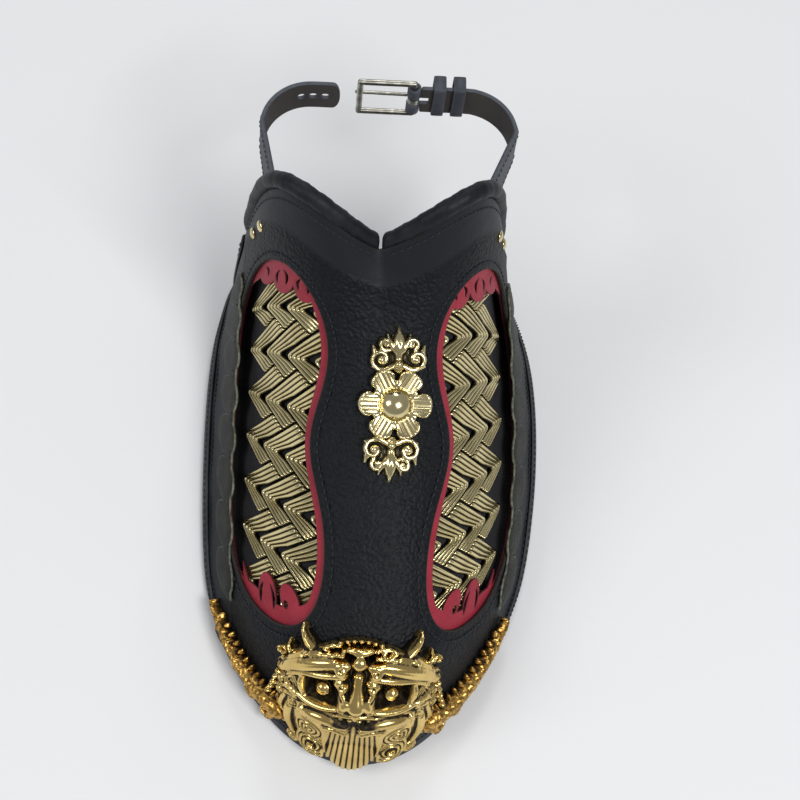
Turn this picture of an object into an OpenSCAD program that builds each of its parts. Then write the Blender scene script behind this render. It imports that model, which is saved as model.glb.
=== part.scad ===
// Leather sabaton: a boot cover of black leather that drapes over the front of a boot.
// Two windows in it show panels of interlocked gilt mountain-pattern scales on a lining.
// A cast beast mask closes the toe, a cast flower sits on the instep, a strap goes round the heel.
// Frame: toe towards -Y, wearer's ankle towards +Y, +Z up, the lower edge rests on z = 0.

/* [Foot form] */
// Distance from the instep to the front of the toe edge
toe_reach = 126; // [116:1:136]
// Distance from the instep back to the notch of the collar
notch_back = 42; // [38:1:46]
// Distance from the instep back to the rear corners of the skirts
skirt_back = 80; // [74:1:86]
// Half width of the cover across the ball of the foot
half_width = 71; // [66:1:76]
// Half width of the toe edge
toe_half_width = 58; // [54:1:62]
// Half width at the rear edge beside the ankle
ankle_half_width = 56; // [52:1:60]
// Height of the centre ridge at the instep
instep_height = 93; // [86:1:100]
// Height of the collar notch
notch_height = 124; // [116:1:132]
// Height of the toe top behind the mask
toe_height = 46; // [42:1:50]
// Rise of the collar ears above the notch
ear_rise = 20; // [14:1:24]
// Sideways swing of the centre ridge, as a foot's last swings
last_swing = 4; // [0:0.5:6]

/* [Leather] */
// Thickness of the outer leather
leather = 1.8; // [1.4:0.1:2.2]
// Thickness of the red leather window frames
frame_leather = 1.0; // [0.8:0.1:1.2]
// Thickness of the lining behind the scales
lining = 1.2; // [1.0:0.1:1.6]
// Radius of the padded collar roll
collar_radius = 3.4; // [2.6:0.1:4.2]
// Width of the binding along the lower edge
binding_width = 5; // [4:0.5:7]
// Thickness of the binding's leather
binding_leather = 0.9; // [0.7:0.1:1.2]
// Gap left between pieces that lie on one another
layer_gap = 0.3; // [0.2:0.05:0.4]
// Gap left between the curved scales and the layers above and below them
scale_seat = 1.15; // [1.0:0.05:1.3]

/* [Windows] */
// Half width of the leather between the windows at their waist
strip_half = 31; // [28:0.5:33]
// Visible width of the red frame beside the strip
frame_show = 3; // [2:0.5:4]
// How far the lobes of the scalloped edging bulge over the outer leather
lobe_reach = 8; // [6:0.5:9]

/* [Scales] */
// Pitch of the scale rows along the foot
row_pitch = 19.5; // [19:0.1:20]
// Pitch of the nested scales across the foot
nest_pitch = 18.5; // [18.2:0.1:19]
// Number of scale rows in each panel
scale_rows = 8; // [6:1:8]
// Number of nested scales in a row
scale_columns = 4; // [3:1:4]
// Width of a scale's arm
arm_width = 7.9; // [7.4:0.1:8]
// Thickness of a scale between its ridges
scale_plate = 0.9; // [0.7:0.1:1.1]
// Height of the ridges pressed along a scale
ridge_height = 1.1; // [0.8:0.1:1.3]
// Angle of the arms from the across direction
arm_angle = 28; // [27:0.5:30]

/* [Strap and buckle] */
// Width of the heel strap
strap_width = 16; // [14:1:18]
// Thickness of the heel strap
strap_thick = 1.8; // [1.5:0.1:2.2]
// Distance from the instep back to the buckle
strap_back = 128; // [120:1:134]
// Height of the heel strap's middle
strap_height = 96; // [90:1:100]
// Radius of the buckle's bars
bar_radius = 1.25; // [1.1:0.05:1.4]
// Distance between the buckle's front bar and its hinge bar
buckle_length = 22; // [20:1:24]
// Radius of the pin holes in the strap
pin_hole = 1.8; // [1.5:0.1:2]

/* [Ornaments] */
// Radius of the flower's domed boss
boss_radius = 6.8; // [6:0.2:7.6]
// Distance of the petals' middles from the boss's axis
petal_ring = 10.8; // [10.4:0.1:11.4]
// Length of the flower ornament from tip to tip
flower_length = 63; // [58:1:68]
// Width of the mask across its cheeks
mask_width = 62; // [56:1:68]
// Height of the mask along the toe's slope
mask_height = 64; // [60:1:66]
// Thickness of the cast ornaments' base plates
cast_plate = 1.6; // [1.2:0.1:2]
// Radius of the rivets' shanks
rivet_radius = 1.2; // [1:0.1:1.4]

/* [Hidden] */

black_leather = "#1c1f26";
red_leather = "#a32037";
olive_edging = "#3d3f34";
gilt = "#c9a94e";
bright_gilt = "#d9a534";
dark_lining = "#101012";
buckle_metal = "#8f8a7a";

// Stations run from the toe edge to the collar, numbered 0 to 6.
// Each holds ridge y and z, skirt edge y and z, half width, how full the arch is
// in height and in plan, and how its points spread from ridge to edge.
edge_z = 2.15;
toe_edge_z = 2.4;
toe_corner_z = 3.4;
stations = [
  [-toe_reach, toe_edge_z, -0.59 * toe_reach, toe_corner_z, toe_half_width, 2.1, 2.1, 0.44],
  [-0.79 * toe_reach, toe_height, -0.365 * toe_reach, edge_z, half_width - 5, 2.2, 2.2, 0.44],
  [-0.555 * toe_reach, 0.66 * toe_height + 0.34 * instep_height, -0.08 * toe_reach, edge_z,
   half_width - 1, 2.2, 2.2, 0.44],
  [-0.27 * toe_reach, 0.34 * toe_height + 0.66 * instep_height, 0.325 * skirt_back, edge_z,
   half_width, 2.2, 2.2, 0.44],
  [0, instep_height, 0.675 * skirt_back, edge_z + 1, half_width - 2, 2.5, 2.2, 0.50],
  [0.57 * notch_back, (instep_height + notch_height) / 2, 0.9 * skirt_back, 8,
   (half_width + ankle_half_width) / 2, 4.5, 2.3, 0.70],
  [notch_back, notch_height, skirt_back, 18, ankle_half_width, 11, 2.4, 0.90],
];
last_station = len(stations) - 1;
// Where the ears start along the cover, and how far across the arch they reach
ear_start = 4.4;
ear_span = 0.7;

// The middle of the whole part along Y lies over the origin
mask_over = 3.3;
keeper_wall = 1.1;
keeper_play = 0.3;
keeper_depth = 3 * strap_thick + 2 * keeper_play;
keeper_outer = strap_back - strap_thick / 2 - keeper_play + keeper_depth + keeper_wall;
middle_y = (keeper_outer - toe_reach - mask_over) / 2;

function unit(v) = v / norm(v);

// A smooth curve through the stations, read at any place between them
function station(u) =
  let (
    i = max(0, min(last_station - 1, floor(u))),
    f = u - i,
    b = stations[i],
    c = stations[i + 1],
    a = i > 0 ? stations[i - 1] : 2 * b - c,
    d = i < last_station - 1 ? stations[i + 2] : 2 * c - b
  )
  0.5 * (2 * b + (c - a) * f + (2 * a - 5 * b + 4 * c - d) * pow(f, 2)
    + (3 * b - a - 3 * c + d) * pow(f, 3));

function ear(u, across) =
  across < ear_span
  ? ear_rise * pow(max(0, u - ear_start) / (last_station - ear_start), 2)
    * pow(max(0, sin(180 * across / ear_span)), 1.2)
  : 0;

// Outer surface of the leather: u runs from toe to collar, t from the left edge to the right edge
function skin(u, t) =
  let (
    s = station(u),
    across = abs(t),
    g = across * (1 + s[7] * (1 - across)),
    fall_z = 1 - pow(g, s[5]),
    fall_y = 1 - pow(g, s[6])
  )
  [sign(t) * s[4] * g + last_swing * (sin(180 * max(0, min(1, u / last_station))) - 1),
   s[2] + (s[0] - s[2]) * fall_y - middle_y,
   s[3] + (s[1] - s[3]) * fall_z + ear(u, across)];

small_step = 0.02;
function along(u, t) = skin(u + small_step, t) - skin(u - small_step, t);
function across(u, t) = skin(u, t + small_step) - skin(u, t - small_step);
function outward(u, t) = unit(cross(across(u, t), along(u, t)));
// A point at depth n from the outer surface, negative inside the leather
function at(u, t, n) = skin(u, t) + n * outward(u, t);

// Depths of the layers, from the leather's outer surface inward
edging_thick = 0.8;
frame_seat = 0.45;
frame_top = -leather - layer_gap;
frame_bottom = frame_top - frame_leather;
edging_bottom = layer_gap;
edging_top = edging_bottom + edging_thick;
scale_top = frame_bottom - frame_seat;
scale_bottom = scale_top - scale_plate - ridge_height;
lining_top = scale_bottom - scale_seat;
lining_bottom = lining_top - lining;

// Window outline: u from window_toe to window_ankle, t from inner_edge(u) to outer_edge
window_toe = 1.2;
window_ankle = 5.2;
window_mid = (window_toe + window_ankle) / 2;
window_half = (window_ankle - window_toe) / 2;
outer_edge = 0.78;
inner_edge_end = 0.205;
ridge_arc = 104;
side_arc = 127;
station_arc = 37;
waist_place = window_mid + 0.1;
waist_spread = 0.65;
function inner_edge(u) =
  inner_edge_end
  + (strip_half / ridge_arc - inner_edge_end) * exp(-pow((u - waist_place) / waist_spread, 2));

// How much of the window's breadth is open at fraction a of its half length
end_share = 0.45;
end_squareness = 5;
end_fall = 0.45;
function openness(a) = max(end_share, pow(max(0, 1 - pow(abs(a), end_squareness)), end_fall));

// One side's edge across the arch, near is -1 for the ridge side and 1 for the skirt side
function window_t(u, near, low, high, share) =
  let (mid = (low + high) / 2, half = (high - low) / 2)
  mid + near * half * share;

// A closed sheet over a grid of [u, t, top n, bottom n], with holes given as [row0, row1, col0, col1]
function in_hole(holes, i, j) =
  len([for (h = holes) if (i >= h[0] && i < h[1] && j >= h[2] && j < h[3]) 1]) > 0;
module sheet(grid, holes = []) {
  rows = len(grid);
  cols = len(grid[0]);
  top = [for (row = grid) for (p = row) at(p[0], p[1], p[2])];
  bottom = [for (row = grid) for (p = row) at(p[0], p[1], p[3])];
  count = rows * cols;
  solid = [for (i = [0:rows - 2]) [for (j = [0:cols - 2]) !in_hole(holes, i, j)]];
  function open_at(i, j) = i < 0 || j < 0 || i > rows - 2 || j > cols - 2 || !solid[i][j];
  function v(i, j) = i * cols + j;
  faces = [
    for (i = [0:rows - 2]) for (j = [0:cols - 2]) if (solid[i][j])
      let (a = v(i, j), b = v(i, j + 1), c = v(i + 1, j + 1), d = v(i + 1, j))
      each concat(
        [[a, c, b], [a, d, c], [a + count, b + count, c + count], [a + count, c + count, d + count]],
        open_at(i - 1, j) ? [[a, b, b + count], [a, b + count, a + count]] : [],
        open_at(i + 1, j) ? [[c, d, d + count], [c, d + count, c + count]] : [],
        open_at(i, j - 1) ? [[d, a, a + count], [d, a + count, d + count]] : [],
        open_at(i, j + 1) ? [[b, c, c + count], [b, c + count, b + count]] : [])
  ];
  polyhedron(concat(top, bottom), faces);
}

function reversed(list) = [for (k = [len(list) - 1:-1:0]) list[k]];
function mix(a, b, f) = a + (b - a) * f;

// A closed tube or band: every ring is a list of points, all of the same length
module swept(rings, caps = undef) {
  n = len(rings[0]);
  last = (len(rings) - 1) * n;
  ends = caps == undef ? [[for (k = [0:n - 1]) k]] : caps;
  start = [for (c = ends) reversed(c)];
  end = [for (c = ends) [for (k = c) last + k]];
  polyhedron(
    [for (r = rings) each r],
    concat(
      [for (i = [0:len(rings) - 2]) for (k = [0:n - 1])
        let (a = i * n + k, b = i * n + (k + 1) % n)
        each [[a, b, b + n], [a, b + n, a + n]]],
      start, end));
}

// Upper shell
shell_steps_strip = 4;
shell_steps_window = 5;
shell_steps_skirt = 3;
shell_toe_rows = [0, 0.3, 0.6, 0.9];
shell_ankle_rows = [5.5, 5.75, last_station];
shell_window_steps = 6;
function shell_rows() = concat(
  shell_toe_rows,
  [for (k = [-shell_window_steps:shell_window_steps])
    window_mid + window_half * sin(90 * k / shell_window_steps)],
  shell_ankle_rows);
function half_columns(u) =
  let (
    share = openness((u - window_mid) / window_half),
    a = window_t(u, -1, inner_edge(u), outer_edge, share),
    b = window_t(u, 1, inner_edge(u), outer_edge, share)
  )
  concat(
    [for (k = [1:shell_steps_strip]) a * k / shell_steps_strip],
    [for (k = [1:shell_steps_window]) a + (b - a) * k / shell_steps_window],
    [for (k = [1:shell_steps_skirt]) b + (1 - b) * k / shell_steps_skirt]);
function full_columns(u) =
  let (h = half_columns(u))
  concat(reversed(-h), [0], h);
module upper_shell() {
  half = shell_steps_strip + shell_steps_window + shell_steps_skirt;
  first_row = len(shell_toe_rows);
  last_row = first_row + 2 * shell_window_steps;
  grid = [for (u = shell_rows()) [for (t = full_columns(u)) [u, t, 0, -leather]]];
  color(black_leather) difference() {
    sheet(grid, [
      [first_row, last_row, shell_steps_skirt, shell_steps_skirt + shell_steps_window],
      [first_row, last_row, half + shell_steps_strip, half + shell_steps_strip + shell_steps_window]]);
    for (side = [-1, 1])
      strap_rivet_places(side)
        rivet_hole(4 * leather);
  }
}

// One ring of the binding, a U-shaped leather fold over the shell's edge.
// e is a place on the edge and i the shell's next place inward, both as [u, t].
// The fold's lips narrow where the toe edge turns into the side edge.
corner_lip = 0.38;
fold_gap = 0.32;
function fold_ring(e, i, lip = 1) =
  let (
    n = outward(e[0], e[1]),
    top = skin(e[0], e[1]),
    out = unit(top - skin(i[0], i[1])),
    low = at(e[0], e[1], -leather),
    low_out = unit(low - at(i[0], i[1], -leather)),
    far = fold_gap + binding_leather,
    w = -binding_width * lip,
    ring = [
      top + w * out + fold_gap * n, top + fold_gap * (out + n), low + fold_gap * (low_out - n),
      low + w * low_out - fold_gap * n, low + w * low_out - far * n, low + far * (low_out - n),
      top + far * (out + n), top + w * out + far * n]
  )
  [for (q = ring) [q[0], q[1], max(0, q[2])]];
collar_end_column = len(half_columns(last_station)) - shell_steps_skirt;
rear_gap_share = 0.12;
function rear_ring(side, k) =
  let (
    rows = shell_rows(),
    before = rows[len(rows) - 2]
  )
  fold_ring(
    [last_station, side * half_columns(last_station)[k]],
    [before, side * half_columns(before)[k]]);
function corner_ring(side) =
  let (rows = shell_rows(), before = rows[len(rows) - 2], columns = half_columns(before))
  fold_ring([last_station, side], [before, side * columns[len(columns) - 2]]);
function rear_rings(side) = [
  mix(rear_ring(side, collar_end_column), rear_ring(side, collar_end_column + 1), rear_gap_share),
  rear_ring(side, collar_end_column + 1),
  corner_ring(side)];
function side_rings(side) =
  let (rows = shell_rows())
  [for (k = [1:len(rows) - 2])
    let (columns = half_columns(rows[k]))
    fold_ring([rows[k], side], [rows[k], side * columns[len(columns) - 2]])];
function toe_rings() =
  let (edge = full_columns(0), next = full_columns(shell_rows()[1]), last = len(edge) - 1)
  [for (k = [0:last])
    fold_ring([0, edge[k]], [shell_rows()[1], next[max(1, min(last - 1, k))]],
      min(k, last - k) < 2 ? corner_lip : 1)];
function binding_rings() = concat(
  rear_rings(-1),
  reversed(side_rings(-1)),
  toe_rings(),
  side_rings(1),
  reversed(rear_rings(1)));
module lower_binding() {
  color(black_leather)
    swept(binding_rings(), [[0, 1, 6, 7], [1, 2, 5, 6], [2, 3, 4, 5]]);
}

// Padded roll along one ear of the collar
collar_start_share = 0.4;
collar_end_size = 0.55;
collar_fullness = 0.3;
function collar_ring(side, t, share) =
  let (
    n = outward(last_station, t),
    out = unit(cross(n, across(last_station, t))),
    radius = collar_radius * mix(collar_end_size, 1, pow(sin(180 * share), collar_fullness)),
    middle = at(last_station, t, -leather / 2) + out * (collar_radius + layer_gap)
  )
  [for (m = [0:7]) middle + radius * (cos(45 * m) * out - side * sin(45 * m) * n)];
module collar(side) {
  columns = half_columns(last_station);
  rings = [for (k = [0:collar_end_column])
    collar_ring(side, side * columns[k], (k + 1) / (collar_end_column + 1))];
  first = mix(collar_ring(side, side * small_step, 0), rings[0], collar_start_share);
  color(black_leather) swept(concat([first], rings));
}

// Lining: a tray behind one window, its rim up against the leather
rim_reach = 13;
rim_flat = 2;
floor_reach = 8;
ankle_rim_reach = 7;
ankle_floor_reach = 1;
tray_steps = 5;
function reach_t(near, distance) = distance / (near < 0 ? ridge_arc : side_arc);
function tray_row(side, u, up) =
  let (
    a = inner_edge_end,
    b = outer_edge,
    reaches = [rim_reach, rim_reach - rim_flat, floor_reach],
    edges = concat(
      [for (r = reaches) a - reach_t(-1, r)],
      [for (k = [0:tray_steps]) mix(a, b, k / tray_steps)],
      [for (r = reversed(reaches)) b + reach_t(1, r)]),
    depth = concat([1, 1, 0], [for (k = [0:tray_steps]) 0], [0, 1, 1])
  )
  [for (k = [0:len(edges) - 1])
    let (raise = max(depth[k], up), top = lining_top + raise * (frame_top - lining_top))
    [u, side * edges[k], top, top - lining]];
// Rows of the tray as [distance beyond the window's end, 1 for the rim and 0 for the floor]
toe_tray_rows = [[rim_reach, 1], [rim_reach - rim_flat, 1], [floor_reach, 0]];
ankle_tray_rows = [[ankle_floor_reach, 0], [ankle_rim_reach - rim_flat, 1], [ankle_rim_reach, 1]];
module lining_tray(side) {
  grid = concat(
    [for (r = toe_tray_rows) tray_row(side, window_toe - r[0] / station_arc, r[1])],
    [for (k = [-4:4]) tray_row(side, window_mid + window_half * k / 4, 0)],
    [for (r = ankle_tray_rows) tray_row(side, window_ankle + r[0] / station_arc, r[1])]);
  color(dark_lining)
    if (side > 0) sheet(grid);
    else sheet([for (row = grid) reversed(row)]);
}

// Red leather frame under the edge of one window, widening into lobes at its two ends
frame_margin = 4;
skirt_margin = 1;
lobe_wave = 4;
frame_steps = 8;
hole_row = 4;
hole_reach = 0.97;
window_rows = 6;
function window_row(k) = sin(90 * k / window_rows);
function frame_row(k, u_shift) =
  let (
    a_window = window_row(k),
    u0 = window_mid + window_half * a_window + u_shift,
    share = openness(a_window),
    low = inner_edge(u0),
    a = window_t(u0, -1, low, outer_edge, share),
    b = window_t(u0, 1, low, outer_edge, share),
    hole_share = openness(hole_reach * sin(90 * max(-1, min(1, k / hole_row)))),
    inner_a = max(a + frame_show / ridge_arc, window_t(u0, -1, low, outer_edge, hole_share)),
    inner_b = min(b, window_t(u0, 1, low, outer_edge, hole_share)) + skirt_margin / side_arc,
    wave = abs(k) == hole_row ? sign(k) * lobe_wave / station_arc : 0
  )
  concat(
    [[u0, a - frame_margin / ridge_arc]],
    [for (m = [0:frame_steps])
      [u0 + wave * abs(sin(540 * m / frame_steps)), inner_a + (inner_b - inner_a) * m / frame_steps]],
    [[u0, b + frame_margin / side_arc]]);
module window_frame(side) {
  shift = frame_margin / station_arc;
  rows = concat(
    [frame_row(-window_rows, -shift)],
    [for (k = [-window_rows:window_rows]) frame_row(k, 0)],
    [frame_row(window_rows, shift)]);
  grid = [for (row = rows) [for (p = row) [p[0], side * p[1], frame_top, frame_bottom]]];
  first = 1 + window_rows - hole_row;
  holes = [[first, first + 2 * hole_row, 1, 1 + frame_steps]];
  color(red_leather)
    if (side > 0) sheet(grid, holes);
    else sheet([for (row = grid) reversed(row)], holes);
}

// Distances over the leather, measured along the middle of a panel and across it
along_step = 0.1;
across_step = small_step;
function walked(line, step, last) =
  [for (k = 0, s = 0; k <= last / step + along_step;
        s = s + norm(line((k + 1) * step) - line(k * step)), k = k + 1) [s, k * step]];
function swapped(table) = [for (p = table) [p[1], p[0]]];
u_table = walked(function (u) skin(u, 0.5), along_step, last_station);
t_table = walked(function (t) skin(window_mid, t), across_step, 1);
ridge_table = walked(function (u) skin(u, 0), along_step, last_station - 0.9);
mid_distance = lookup(window_mid, swapped(u_table));
function panel(side, a, b, n) = at(lookup(b + mid_distance, u_table), side * lookup(a, t_table), n);

// Scalloped edging along the skirt side of one window
edging_inner = 0.735;
edging_outer = 0.802;
lobe_steps = 4;
lobe_count = 8;
lobe_fullness = 0.6;
lobe_root = 0.01;
module scallop_edging(side) {
  count = lobe_count * lobe_steps;
  grid = [for (k = [0:count])
    let (
      b = (k / lobe_steps - lobe_count / 2) * row_pitch,
      u = lookup(b + mid_distance, u_table),
      lobe = pow(abs(sin(180 * k / lobe_steps)), lobe_fullness) * lobe_reach / side_arc
    )
    [for (t = [edging_inner, edging_outer - lobe_root, edging_outer + lobe])
      [u, side * t, edging_top, edging_bottom]]];
  color(olive_edging)
    if (side > 0) sheet(grid);
    else sheet([for (row = grid) reversed(row)]);
}

// Mountain-pattern scales. Each is a chevron pressed from sheet with four ridges along both arms.
// Its vertex points to the skirt. Its upper arm ends against the lower arm of the scale
// that stands inward and one row up, its lower arm ends on the upper arm of the next row down.
scale_gap = 0.8;
blunt = 1.3;
waist_share = 0.8;
ridge_count = 4;
row_shift = 4.2;
first_vertex = strip_half + 3.5;
inner_cut = first_vertex - 19.5;
arm_swell = 0.45;
arm_least = 0.4;
toe_cut = -76;
ankle_cut = 72;
edge_points = 2 * ridge_count + 1;
function ridge_level(k) = scale_bottom + scale_plate + (k % 2) * ridge_height;
function miter(w) = -w / sin(arm_angle);
function upper_length(w, a, b) = min(
  (nest_pitch * sin(arm_angle) + row_pitch * cos(arm_angle) - w - scale_gap) / sin(2 * arm_angle),
  (a - inner_cut + miter(w)) / cos(arm_angle),
  (ankle_cut - b) / sin(arm_angle));
function lower_length(w, a, b) = min(
  (row_pitch * cos(arm_angle) - w - scale_gap) / sin(2 * arm_angle),
  (a - inner_cut + miter(w)) / cos(arm_angle),
  (b - toe_cut) / sin(arm_angle));
// A place on an arm: w across it, s along it, up is 1 for the upper arm and -1 for the lower
function arm_point(w, s, up) = [miter(w) - s * cos(arm_angle), up * s * sin(arm_angle)];
function scale_ring(side, a, b, place) =
  let (
    narrow = place == 1 || place == 2 ? waist_share : 1,
    up = place <= 1 || place == 4 ? 1 : -1,
    spot = function (w)
      let (
        full = up > 0 ? upper_length(w, a, b) : lower_length(w, a, b),
        s = place == 1 || place == 2 ? blunt
          : place == 4 ? mix(blunt, full, arm_swell)
          : max(full, blunt + arm_least)
      )
      arm_point(w * narrow, s, up),
    top = [for (k = [0:edge_points - 1])
      let (q = spot(arm_width * k / (edge_points - 1)))
      panel(side, a + q[0], b + q[1], ridge_level(k))],
    base = [for (w = [arm_width, 0]) let (q = spot(w)) panel(side, a + q[0], b + q[1], scale_bottom)],
    ring = concat(top, base)
  )
  side > 0 ? reversed(ring) : ring;
module mountain_scale(side, a, b) {
  last = edge_points + 1;
  plain = concat(
    [for (k = [0:ridge_count - 1]) [2 * k, 2 * k + 1, 2 * k + 2]],
    [for (k = [0:ridge_count - 1]) [last, 2 * k, 2 * k + 2]],
    [[last, edge_points - 1, edge_points]]);
  caps = side > 0 ? [for (c = plain) [last - c[2], last - c[1], last - c[0]]] : plain;
  swept([for (place = [0, 4, 1, 2, 3]) scale_ring(side, a, b, place)], caps);
}
// The last row before the ankle is one scale shorter, as the window narrows there
function row_columns(i) = i == scale_rows ? scale_columns - 1 : scale_columns;
module scale_row(side, i) {
  b = (i - (scale_rows + 1) / 2) * row_pitch - side * row_shift;
  color(gilt)
    for (j = [0:row_columns(i) - 1]) mountain_scale(side, first_vertex + j * nest_pitch, b);
}

// Stands a piece on the leather at u, t: x across, y along the foot, z outward
module placed(u, t, depth = 0) {
  z = outward(u, t);
  x = unit(across(u, t) - (across(u, t) * z) * z);
  y = cross(z, x);
  p = at(u, t, depth);
  multmatrix([[x[0], y[0], z[0], p[0]], [x[1], y[1], z[1], p[1]], [x[2], y[2], z[2], p[2]], [0, 0, 0, 1]])
    children();
}

// Flower ornament: petals and boss with a spray of leaves above and below
flower_u = 3.8;
flower_t = 0.045;
flower_tilt = -2;
petals = 6;
petal_radius = 3.6;
petal_spread = 1.28;
petal_rise = 1.3;
petal_crown = 0.6;
petal_slope = 1.2;
flower_lift = 0.6;
module flower_frame() {
  placed(flower_u, flower_t, flower_lift)
    rotate(flower_tilt)
      children();
}
module petal() {
  hull() scale([petal_spread, 1, 1]) {
    translate([0, petal_ring, 0])
      cylinder(r = petal_radius, h = cast_plate, $fn = 20);
    translate([0, petal_ring + petal_crown, 0])
      cylinder(r = petal_radius - petal_slope, h = cast_plate + petal_rise, $fn = 20);
  }
}
module flower_petals() {
  color(bright_gilt) flower_frame() {
    cylinder(r = petal_ring - 1, h = cast_plate, $fn = 48);
    for (k = [0:petals - 1]) rotate(360 * (k + 0.5) / petals) petal();
  }
}
boss_seat = 0.2;
boss_sunk = 1;
boss_foot = [0.4, 0.8];
module flower_boss() {
  color(bright_gilt) flower_frame() translate([0, 0, cast_plate + boss_seat])
    rotate_extrude($fn = 64) {
      intersection() {
        translate([0, -boss_sunk]) circle(boss_radius, $fn = 64);
        square([boss_radius, boss_radius]);
      }
      square([boss_radius + boss_foot[0], boss_foot[1]]);
    }
}
// A spray of leaves, its length along Y from -reach to reach, the tip at the far end
spray_start = petal_ring + petal_radius + 0.8;
spray_middle = (flower_length / 2 + spray_start) / 2;
spray_lift = [0.25, 0.45];
spray_aside = 0.012;
// Rounds of the spray: place from its foot, radius, and rise of the cone that stands on it
rosette = [6.5, 4.2, 4.2, 1.6];
bud = [4.4, 9, 2.8, 1.2];
heart = [0, 3, 3, 2];
leaf_heart = [0, 2 * (flower_length / 2 - spray_middle) - 5, 2.6, 1.6];
leaf_tip = 0.5;
cone_share = 0.86;
cone_top = 0.45;
module spray_cone(p, side) {
  translate([side * p[0], p[1]])
    cylinder(r1 = cone_share * p[2], r2 = cone_top * p[2], h = cast_plate + p[3], $fn = 24);
}
module spray() {
  reach = flower_length / 2 - spray_middle;
  translate([0, -reach]) {
    linear_extrude(cast_plate) {
      hull() {
        translate([0, heart[1]]) circle(heart[2], $fn = 24);
        translate([0, leaf_heart[1]]) circle(leaf_heart[2], $fn = 24);
        translate([0, 2 * reach - leaf_tip]) circle(leaf_tip, $fn = 12);
      }
      for (side = [-1, 1])
        for (p = [rosette, bud])
          translate([side * p[0], p[1]]) circle(p[2], $fn = 24);
    }
    for (side = [-1, 1])
      for (p = [rosette, bud])
        spray_cone(p, side);
    spray_cone(heart, 1);
    spray_cone(leaf_heart, 1);
  }
}
// The place along the ridge a given distance from the flower's middle
function ridge_u(distance) =
  lookup(lookup(flower_u, swapped(ridge_table)) + distance, ridge_table);
module spray_upper() {
  color(bright_gilt)
    placed(ridge_u(spray_middle), flower_t + spray_aside, spray_lift[1])
      rotate(flower_tilt)
        spray();
}
module spray_lower() {
  color(bright_gilt)
    placed(ridge_u(-spray_middle), flower_t - spray_aside, spray_lift[0])
      rotate(180 + flower_tilt)
        spray();
}

// Rivets through the leather
head_radius = 2.4;
head_height = 0.9;
head_brow = 0.6;
tail_height = 0.6;
tail_radius = head_radius - 0.3;
hole_gap = 0.1;
joined = 0.01;
module rivet(length) {
  brow = head_height * head_brow;
  translate([0, 0, -length])
    cylinder(r = rivet_radius, h = length + joined, $fn = 24);
  cylinder(r1 = head_radius, r2 = head_radius * 0.85, h = brow, $fn = 32);
  translate([0, 0, brow - joined])
    cylinder(r1 = head_radius * 0.85, r2 = head_radius * 0.4, h = head_height - brow, $fn = 32);
  translate([0, 0, -length - tail_height])
    cylinder(r = tail_radius, h = tail_height, $fn = 32);
}

// Beast mask: cast over the toe. Its points are given by x across and y up the toe's slope.
mask_arc = 88;
mask_foot = 6.5;
cast_lift = layer_gap + 0.15;
mask_shift = -3;
function mask_at(x, y, n) = at(lookup(y, ridge_table), (x + mask_shift) / mask_arc, n + cast_lift);
bead_faces = 6;
module bead(p) {
  translate(mask_at(p[0], p[1], p[2]))
    sphere(p[3], $fn = bead_faces);
}
module chain(points) {
  for (k = [0:len(points) - 2]) hull() {
    bead(points[k]);
    bead(points[k + 1]);
  }
}
// Points of a tapering spiral: middle, start radius, start angle, turn in degrees, height, thickness
function curl(x, y, r, start, turn, n, thick, steps = 5) =
  [for (k = [0:steps]) let (f = k / steps, q = r * (1 - 0.75 * f), a = start + turn * f)
    [x + q * cos(a), y + q * sin(a), n + thick * f * 0.8, thick * (1 - 0.4 * f)]];
half_mask = mask_width / 2;
// The face swells in the middle, its cast wall follows the swell and its rim meets the leather
face_swell = 7;
face_rows = 7;
face_cols = 8;
function face_y(f) = mask_foot + f * (mask_height - 5 - mask_foot);
function face_half(f) = half_mask * (0.72 + 0.28 * sin(180 * pow(f, 0.8)));
function swell_at(f, g) = face_swell * pow(sin(180 * f), 0.7) * pow(max(0, 1 - g * g), 0.8);
module mask_face() {
  grid = [for (i = [0:face_rows])
    let (f = i / face_rows)
    [for (j = [0:face_cols])
      let (g = 2 * j / face_cols - 1, n = swell_at(f, g))
      [lookup(face_y(f), ridge_table), (face_half(f) * g + mask_shift) / mask_arc,
       cast_lift + cast_plate + n, cast_lift + 0.85 * n]]];
  sheet(grid);
}
// Rolls of metal on the right half of the face, as [x across, y up the slope, height, radius]
brow_roll = [for (f = [0, 1 / 3, 2 / 3, 1])
  [5 + 25 * f, mask_height - 15 + 4 * sin(150 * f) - 7 * f, 9.5 - 4 * f, 3.9 - 1.5 * f]];
horn_roll = [[19, mask_height - 16, 5.5, 3.6], [21, mask_height - 9, 7.5, 2.4],
             [23, mask_height - 2, 9.5, 1.2]];
small_horn_roll = [[28, mask_height - 20, 4, 2.8], [29, mask_height - 9, 7, 1]];
nostril_roll = [[1, mask_height - 27, 9.5, 3.6], [5.6, mask_height - 28, 8.6, 3]];
moustache_roll = [for (f = [0, 1 / 3, 2 / 3, 1])
  [3 + 25 * f, mask_height - 36 - 8 * f + 6 * sin(180 * f), 9 - 4.5 * f, 3.6 - 1.8 * f]];
tusk_roll = [for (f = [0, 1 / 3, 2 / 3, 1])
  [24 + 7 * sin(150 * f), 36 - 22 * f, 5 + 1.5 * sin(180 * f), 2.6 - 1.5 * f]];
beard_rolls = [[[5, 24, 8, 4.4], [8, 12, 7, 3.4]], [[14, 22, 6, 4], [18, 13, 5.5, 3]]];
eye_ball = [14, mask_height - 22, 6.5, 4.2];
eye_lid = curl(eye_ball[0], eye_ball[1], 5.4, 180, 260, 6, 1.4, 3);
beard_curls = [curl(9, 12, 3.4, 90, -280, 6, 1.9, 3), curl(20, 13, 3.4, 90, -280, 4.6, 1.7, 3)];
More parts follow.
